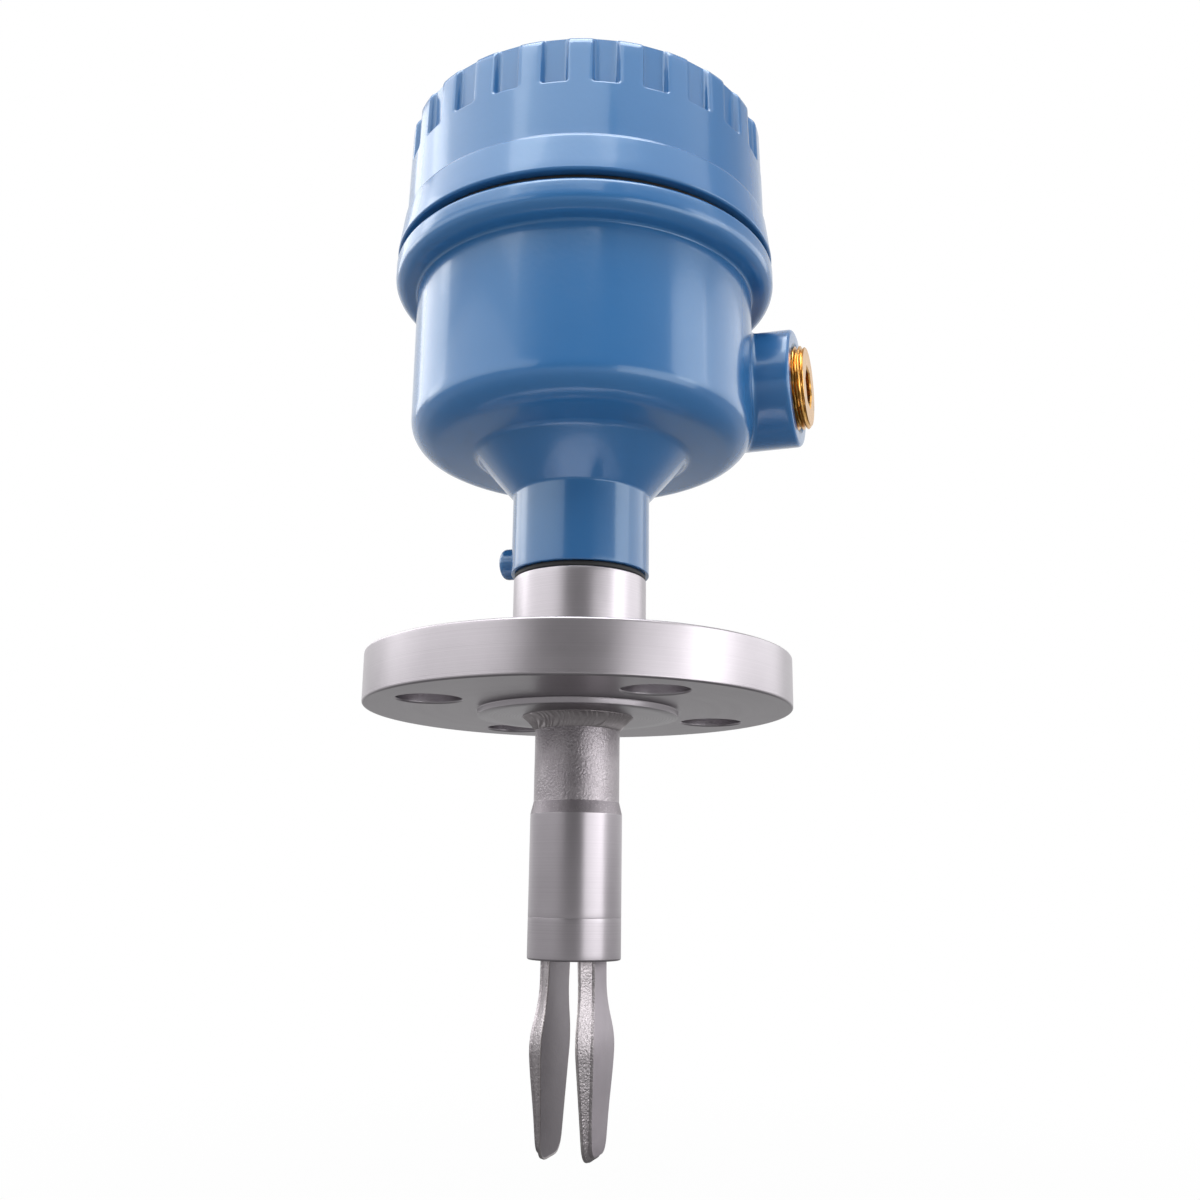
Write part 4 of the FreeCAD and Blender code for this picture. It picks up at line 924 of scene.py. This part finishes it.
def open_wall(points, path, rows, loop, dropped):
    """Leave out the grid around a loop and fill the rest up to it; return the new faces."""
    middle = math.atan2(sum(points[k][1] for k in loop), sum(points[k][0] for k in loop))
    mean = wall_radius(path, rows, sum(points[k][2] for k in loop) / len(loop))

    def unrolled(point):
        angle = math.atan2(point[1], point[0]) - middle
        return mean * ((angle + math.pi) % (2 * math.pi) - math.pi), point[2]

    flat = {k: unrolled(points[k]) for k in loop}
    across = [spot[0] for spot in flat.values()]
    heights = [spot[1] for spot in flat.values()]
    step = 2 * math.pi * mean / AROUND
    first = round((middle * mean + min(across)) / step) - FREE_COLUMNS
    last = round((middle * mean + max(across)) / step) + FREE_COLUMNS
    span = [k for k, row in enumerate(rows)
            if min(heights) - FREE_HEIGHT < path[row][1] < max(heights) + FREE_HEIGHT]
    rows = rows[span[0]:span[-1] + 1]
    columns = list(range(first, last + 1))
    block = {(row, column): row * AROUND + column % AROUND for row in rows for column in columns}
    for number in block.values():
        flat[number] = unrolled(points[number])
    outer = ([block[rows[0], column] for column in columns]
             + [block[row, columns[-1]] for row in rows[1:]]
             + [block[rows[-1], column] for column in columns[-2::-1]]
             + [block[row, columns[0]] for row in rows[-2:0:-1]])
    ring = [Vector(flat[k]) for k in loop]

    def free(number):
        spot = Vector(flat[number])
        return not inside(spot, ring) and min((spot - other).length for other in ring) > FREE_SPACE

    extra = [number for number in set(block.values()) - set(outer) if free(number)]
    dropped.update((row, column % AROUND) for row in rows[:-1] for column in columns[:-1])
    return fill(flat, outer, [loop], extra)


print("walls can be opened")

# %% [markdown]
# A boss's loop starts on the wall: for each direction round the boss, the wall's radius at that
# height says how far out the wall is met. The fillet is a curve from a slightly wider loop on
# the wall, bent at the sharp corner, to a loop a little way out along the boss.

# %% Loops of a boss
FILLET_STEPS = 5


def boss_loops(points, wall, sign, middle, corner, fillet, rows, count):
    """Loops of a boss along X: a fillet from the wall, then rows of (distance, radius)."""
    def met(radius, angle):
        across, rise = round_spot(radius, angle, middle)
        return Vector((sign * math.sqrt(wall(rise) ** 2 - across ** 2), across, rise))

    loops = []
    angles = even_angles(count)
    for step in range(FILLET_STEPS + 1):
        share = step / FILLET_STEPS
        places = []
        for angle in angles:
            foot = met(corner + fillet, angle)
            bend = met(corner, angle)
            out = Vector((bend[0] + sign * fillet * 1.2, *round_spot(corner, angle, middle)))
            places.append(foot * (1 - share) ** 2 + bend * 2 * share * (1 - share)
                          + out * share ** 2)
        loops.append(points.loop(places))
    reach, first_radius = rows[0]
    for share in (0.35, 0.7):
        places = []
        for k, angle in enumerate(angles):
            end = Vector((sign * reach, *round_spot(first_radius, angle, middle)))
            places.append(Vector(points[loops[FILLET_STEPS][k]]).lerp(end, share))
        loops.append(points.loop(places))
    for distance, radius in rows:
        loops.append(points.loop([(sign * distance, *round_spot(radius, angle, middle))
                                  for angle in angles]))
    return loops


print("boss loops ready")

# %% [markdown]
# Three tables in mm describe the casting: its turned section, and for each boss the rows from
# its root over the end face into the bore. The cable's boss is set back from the head's axis.

# %% Sections of the housing
NECK_RADIUS = 17.9
BOWL_BORE = 41.4
MOUTH_RADIUS = 43
# Thread of the mouth: height where it starts and where it ends, and depth.
MOUTH_THREAD = (107.8, 120.6, 0.6)
ENTRY_MIDDLE = (19, 90.7)
ENTRY_BORE = 11.3
ENTRY_BOSS = {"sign": 1, "middle": ENTRY_MIDDLE, "count": 120, "corner": 15.95, "fillet": 1.3,
              "rows": ((53.2, 15.88), (54.0, 15.85), (54.45, 15.75), (54.8, 15.45), (54.97, 15.1),
                       (55, 14.85), (55, 12.35), (54.9, 12.2), (54.1, 11.4), (53.9, ENTRY_BORE),
                       (49, ENTRY_BORE))}
SCREW_BOSS = {"sign": -1, "middle": (0, 41.5), "count": 64, "corner": 4.1, "fillet": 0.2,
              "rows": ((19.6, 4.11), (20.2, 4.1), (20.75, 4.0), (21.2, 3.7), (21.5, 3.3),
                       (21.6, 2.9), (21.6, 2.75), (21.5, 2.55), (20.8, 2.55), (14.6, 2.55))}
housing_path = section(
    [(14, 36.9), (NECK_RADIUS, 36.9, 0.25), (NECK_RADIUS, 57.8, 1.2), (28.1, 69.3, 3),
     (45.4, 70, 7.5), (45.4, 113.5, 0.8), (51.3, 113.5, 3.4), (51.3, 121.3, 1.6),
     (MOUTH_RADIUS, 121.3, 0.4), (MOUTH_RADIUS, 107.3), (BOWL_BORE, 107.3), (BOWL_BORE, 76, 0.5),
     (39.4, 74, 0.5), (15.5, 74), (15.5, 53.5), (14, 53.5)], steps=9)
housing_path = finer(housing_path, 0.3, (107.4, 121), (MOUTH_RADIUS - 0.1, MOUTH_RADIUS + 0.1))
print("housing's section has", len(housing_path), "points")

# %% [markdown]
# The casting is the turned grid without the faces that the bosses replace. The machined thread
# in the mouth stays bare metal.

# %% Housing
def at_radius(spot, radius):
    """True if a section's point lies at this radius."""
    return abs(spot[0] - radius) < 1e-3


def rows_at(path, radius):
    """Numbers of the section's points at one radius."""
    return [k for k, spot in enumerate(path) if at_radius(spot, radius)]


def make_housing():
    path = housing_path
    mouth = rows_at(path, MOUTH_RADIUS)

    def threaded(spot, angle):
        if at_radius(spot, MOUTH_RADIUS):
            return spot[0] + thread_depth(spot[1], angle, *MOUTH_THREAD)
        return spot[0]

    points = Points(turned_grid(path, even_angles(AROUND), threaded))
    outside = [k for k, spot in enumerate(path)
               if spot[0] > 37.3 and 70 < spot[1] < 112.5 and k < len(path) / 2]
    neck = [k for k in rows_at(path, NECK_RADIUS) if path[k][1] < 57]
    entry = boss_loops(points, lambda rise: wall_radius(path, outside, rise), **ENTRY_BOSS)
    bore = [round_spot(ENTRY_BORE, angle, ENTRY_MIDDLE) for angle in even_angles(len(entry[0]))]
    bore_end = points.loop([(math.sqrt(BOWL_BORE ** 2 - across ** 2), across, rise)
                            for across, rise in bore])
    dropped = set()
    faces = open_wall(points, path, outside, entry[0], dropped)
    faces += open_wall(points, path, rows_at(path, BOWL_BORE), bore_end, dropped)
    screw = boss_loops(points, lambda rise: NECK_RADIUS, **SCREW_BOSS)
    faces += open_wall(points, path, neck, screw[0], dropped)
    faces += joined(stack_bands(entry + [bore_end]) + stack_bands(screw))
    faces.append(tuple(screw[-1]))
    thread = []
    for row, ring in enumerate(grid_faces(len(path), AROUND)):
        bare = row in mouth and 107.2 < path[row][1] < 121
        kept = [face for column, face in enumerate(ring) if (row, column) not in dropped]
        (thread if bare else faces).extend(kept)
    new_piece("housing_dressed", points, [(finishes["blue_paint"], faces), (bare_alloy, thread)],
              "head", "blue_paint", "housing")


make_housing()

# %% [markdown]
# ## Cover
# The cover is cast too. Twenty-four pockets round its top leave lugs for a strap wrench. Moving
# the grid's columns close together at the pockets' sides lets one turned grid carry them: a
# point's radius is the section's, less the pocket's depth where it lies in one. Soft steps in
# width and height give the rounded corners that the paint shows.

# %% Pockets of the cover
LUGS = 24
FIRST_POCKET = math.radians(9.15)
COVER_RADIUS = 48.5
POCKET_FLOOR = 46.8
# From a pocket's middle to the lug's: distance across, and share of the pocket's depth.
POCKET_STEPS = ((0, 1), (1.3, 1), (2.2, 1), (2.62, 0.97), (2.9, 0.84), (3.08, 0.56), (3.22, 0.24),
                (3.45, 0.06), (3.75, 0), (4.6, 0), (5.5, 0), (6.35, 0))
# From the wall below the pockets upwards: height, and share of the pocket's depth.
POCKET_START = ((148.35, 0), (148.65, 0.05), (148.9, 0.28), (149.08, 0.62), (149.3, 0.88),
                (149.7, 1))


def cover_columns():
    """The columns' angles, each with how deep it lies in a pocket and how far across."""
    both_ways = [(-across, depth) for across, depth in POCKET_STEPS[:0:-1]] + [*POCKET_STEPS[:-1]]
    return {FIRST_POCKET + 2 * math.pi * lug / LUGS + math.asin(across / COVER_RADIUS):
            (depth, across) for lug in range(LUGS) for across, depth in both_ways}


def pocket_start(height):
    """Share of the pocket's depth that is reached at a height."""
    for (low, first), (high, last) in zip(POCKET_START, POCKET_START[1:]):
        if low <= height < high:
            return first + (last - first) * (height - low) / (high - low)
    return 1.0


print("the cover has", len(cover_columns()), "columns")

# %% [markdown]
# The cover's skirt carries the thread that turns in the bowl's mouth, and it stays bare metal
# where it is machined. The section starts and ends close to the axis, where one flat face closes
# each side of the top.

# %% Cover
SKIRT_RADIUS = 42.9
SKIRT_THREAD = (110.4, 121.5, 0.55)
# Inside this radius the top is flat and has no pockets.
FLAT_TOP = 44.5


def cover_section():
    path = section(
        [(0.5, 158.2), (44, 158.2, 2), (44, 127.2), (40, 127.2), (40, 110, 0.3),
         (SKIRT_RADIUS, 110, 0.5), (SKIRT_RADIUS, 123.2), (51.2, 123.2, 0.6), (49.8, 133.2, 1.3),
         (49.2, 133.9, 0.35), (COVER_RADIUS, 162.2, 3), (0.5, 162.2)],
        longest=2.4, steps=9)
    path = finer(path, 0.3, (110.3, 122.9), (SKIRT_RADIUS - 0.1, SKIRT_RADIUS + 0.1))
    return finer(path, 0.16, (147.6, 150.4), (48, 49.5))


def make_cover():
    path = cover_section()
    columns = cover_columns()

    def shaped(spot, angle):
        radius, height = spot
        if at_radius(spot, SKIRT_RADIUS):
            return radius - thread_depth(height, angle, *SKIRT_THREAD)
        if height < POCKET_START[0][0] or radius < FLAT_TOP:
            return radius
        depth, across = columns[angle]
        floor = POCKET_FLOOR / math.sqrt(1 - (across / COVER_RADIUS) ** 2)
        return radius - depth * pocket_start(height) * max(0.0, radius - floor)

    rows, discs = disc_faces(path, len(columns))
    skirt = [k for k in rows_at(path, SKIRT_RADIUS) if 110.2 < path[k][1] < 123]
    painted, bare = [], []
    for k, row in enumerate(rows):
        (bare if k in skirt else painted).extend(row)
    new_piece("cover_dressed", turned_grid(path, list(columns), shaped),
              [(finishes["blue_paint"], painted + discs), (bare_alloy, bare)],
              "cover", "blue_paint", "cover")


make_cover()

# %% [markdown]
# ## Blanking plug
# A brass plug closes the unused cable entry. Its thread is cut as a real spiral, built as rings
# along the plug's axis whose radius follows the thread, so the crests that stand out of the boss
# run at a slight slant. The part inside the sealing tape is cut lower.

# %% Thread of the plug
PLUG_START = 42
PLUG_LENGTH = 16
PLUG_PITCH = 1.41
PLUG_AROUND = 144
CREST = 11.25
VALLEY_DEPTH = 0.85
# Length of the part inside the tape, its crest and how deep its valleys are.
TAPED = 9.3
TAPED_CREST = 10.9
TAPED_DEPTH = 0.3


def plug_radius(distance, angle):
    """Radius of the plug at a distance from its inner end."""
    share = (distance / PLUG_PITCH - angle / (2 * math.pi)) % 1
    valley = min(1, max(0, 1.7 * (1 - abs(2 * share - 1)) - 0.35))
    if distance < TAPED:
        return TAPED_CREST - TAPED_DEPTH * valley
    radius = CREST - VALLEY_DEPTH * valley * min(1, (distance - TAPED) / 1.2)
    return min(radius, CREST - 0.75 + max(0, PLUG_LENGTH - distance))


def on_plug(distance, radius, angle):
    """A point of the plug: it lies along X, on the middle of the cable entry."""
    return PLUG_START + distance, *round_spot(radius, angle, ENTRY_MIDDLE)


print("crest", CREST, "mm and valley", round(CREST - VALLEY_DEPTH, 2), "mm")

# %% [markdown]
# The end has a broken edge and a hexagon socket with a drilled bottom. The socket's mouth is
# opened a little wider, with a round edge at its corners, and the flat end is filled between the
# last ring and that mouth.

# %% Blanking plug
SOCKET_FLATS = 10
SOCKET_FLOOR = 9
SOCKET_MOUTH = 5.35
SIDE_PARTS = 12
# Drilled bottom: radius, and how far below the socket's floor.
DRILLED = ((4.9, 0), (2.4, 1.3), (0.3, 2.4))


def hexagon(points, distance, scale):
    """A loop of the socket; a wider one is rounded out towards a circle."""
    corner = SOCKET_FLATS / 2 / math.cos(math.radians(30))
    places = []
    for k in range(6):
        start, end = (Vector(round_spot(1, math.radians(60 * side))) for side in (k, k + 1))
        for part in range(SIDE_PARTS):
            spot = start.lerp(end, part / SIDE_PARTS) * corner * scale
            if scale > 1:
                spot = spot.normalized() * max(spot.length, SOCKET_MOUTH)
            places.append((PLUG_START + distance, ENTRY_MIDDLE[0] + spot[0],
                           ENTRY_MIDDLE[1] + spot[1]))
    return points.loop(places)


def make_plug():
    points = Points()
    rings = []
    for distance in [0.0] + [0.1 + 0.15 * k for k in range(104)] + [15.75, 15.9, PLUG_LENGTH]:
        inset = 0.4 if distance == 0 else 0
        rings.append(points.loop([on_plug(distance, plug_radius(distance, angle) - inset, angle)
                                  for angle in even_angles(PLUG_AROUND)]))
    socket = [hexagon(points, *loop) for loop in ((PLUG_LENGTH, 1.05), (15.6, 1),
                                                  (SOCKET_FLOOR, 1))]
    drilled = [points.loop([on_plug(SOCKET_FLOOR - drop, radius, angle)
                            for angle in even_angles(6 * SIDE_PARTS)])
               for radius, drop in DRILLED]
    faces = [*joined(stack_bands(rings)), tuple(rings[0]),
             *joined(stack_bands(socket + drilled)), tuple(drilled[-1])]
    faces += fill(points.flat(1, 2), rings[-1], [socket[0]])
    new_piece("plug_dressed", points, [(finishes["brass"], faces)], "plug", "brass",
              "blanking_plug")


make_plug()

# %% [markdown]
# ## Floor and background
# The photograph is cut out on pure white. A pale floor below the fork catches a soft shadow. For
# the camera it is mixed most of the way to plain white, so no horizon shows behind the object.
# Steel needs something dark to mirror, as a photographer's black card gives it. So for mirror
# rays the floor is dark below the object and grows paler with distance.

# %% Floor
FLOOR_HEIGHT = -0.185
FLOOR_SIZE = 16


def make_floor():
    made, place = new_finish("studio_floor")
    seen = place.node("LightPath", {}, {}, "Is Camera Ray")
    mirrored = place.node("LightPath", {}, {}, "Is Glossy Ray")
    plain = mixed(noise(place, 60, 2), paint(180, 180, 180), paint(190, 190, 190))
    matt = place.node("BsdfPrincipled", {}, {
        "Base Color": mixed(mirrored, plain, paint(66, 66, 66)), "Roughness": 0.8}, "BSDF")
    white = place.node("Emission", {}, {"Color": (1, 1, 1, 1), "Strength": 1.0}, "Emission")
    reach = place.node("VectorMath", {"operation": "LENGTH"}, {0: place}, "Value")
    cover = (stretch(reach, 0.25, 0.7, 0.94, 1.0) * seen
             + stretch(reach, 0.2, 1.2, 0.08, 0.63) * mirrored)
    shown = place.node("MixShader", {}, {0: cover, 1: matt, 2: white})
    place.node("OutputMaterial", {}, {"Surface": shown})
    bpy.ops.mesh.primitive_plane_add(size=FLOOR_SIZE, location=(0, 0, FLOOR_HEIGHT))
    floor = bpy.context.object
    floor.name = "studio_floor"
    floor.data.materials.append(made)
    print("floor at", floor.location.z)


make_floor()

# %% [markdown]
# ## Light
# Glossy paint and steel look like what surrounds them. Here soft lights stand on the right, one
# beside the object, one further round and one low. Above hang a broad one to the left, one in
# front and a smaller one to the right, and one more straight over the object. On the left a wide
# one stands low, and one far round lights the edge. That gives the bright band with its sharp
# edge, the light top and the deep blue in the middle.

# %% Lights
LIGHT_DISTANCE = 1.2


def studio_direction(azimuth, elevation):
    """A direction given from the camera's side: azimuth to its right, elevation upwards."""
    turn_by = math.radians(azimuth - 90) + VIEW_TURN
    rise = math.radians(elevation)
    return Vector((math.cos(turn_by) * math.cos(rise), math.sin(turn_by) * math.cos(rise),
                   math.sin(rise)))


def soft_light(name, azimuth, elevation, width, height, radiance):
    lamp = bpy.data.lights.new(name, "AREA")
    lamp.shape = "RECTANGLE"
    lamp.size = width
    lamp.size_y = height
    lamp.energy = radiance * math.pi * width * height
    light = bpy.data.objects.new(name, lamp)
    aim = Vector((0, 0, 0.05))
    towards = studio_direction(azimuth, elevation)
    light.location = aim + towards * LIGHT_DISTANCE
    light.rotation_euler = towards.to_track_quat("Z", "Y").to_euler()
    bpy.context.scene.collection.objects.link(light)
    print(name, "at", *(round(value, 2) for value in light.location))


for light_row in (("tall_light_right", 72, 17, 0.55, 0.55, 2.7),
                  ("side_light_right", 106, 17, 0.9, 0.55, 1.5),
                  ("low_light_right", 47, -1, 1.2, 0.55, 2.1),
                  ("broad_light_above", -77, 49, 1.35, 0.7, 2.0),
                  ("front_light_above", -17, 50, 1.0, 0.7, 2.3),
                  ("small_light_above", 50, 52, 1.1, 0.7, 1.0),
                  ("low_light_left", -73, 18, 2.2, 0.44, 1.5),
                  ("edge_light_left", -120, 27, 0.75, 0.6, 2.2),
                  ("top_light", 0, 78, 0.9, 0.9, 5.0)):
    soft_light(*light_row)

# %% [markdown]
# The world stands for the rest of the studio. The camera sees it as plain white, and matt
# surfaces get an even, weaker light from it. Mirrors see the photographer's cards: nearly white
# behind the object, grey at its sides and dark round the camera.

# %% Surroundings
CAMERA_SIDE = tuple(studio_direction(0, 0))
MATT_LIGHT = 0.4

world = bpy.data.worlds.new("studio")
bpy.context.scene.world = world
world.use_nodes = True
world.node_tree.nodes.clear()
sky = Wire(world.node_tree)
direction = sky.node("TexCoord", {}, {}, "Generated")
facing = direction.node("VectorMath", {"operation": "DOT_PRODUCT"},
                        {0: direction, 1: CAMERA_SIDE}, "Value")
cards = stretch(facing, 0.5, 0.95, 0.54, 0.14) + stretch(facing, -0.9, -0.2, 0.42, 0.0)
camera_ray, glossy_ray, glass_ray = (sky.node("LightPath", {}, {}, f"Is {kind} Ray")
                                     for kind in ("Camera", "Glossy", "Transmission"))
mirror_ray = glossy_ray + glass_ray
glow = camera_ray + mirror_ray * cards + (1 - camera_ray - mirror_ray) * MATT_LIGHT
backdrop = sky.node("Background", {}, {"Color": (1, 1, 1, 1), "Strength": glow}, "Background")
sky.node("OutputWorld", {}, {"Surface": backdrop})
print("world has", len(world.node_tree.nodes), "nodes")
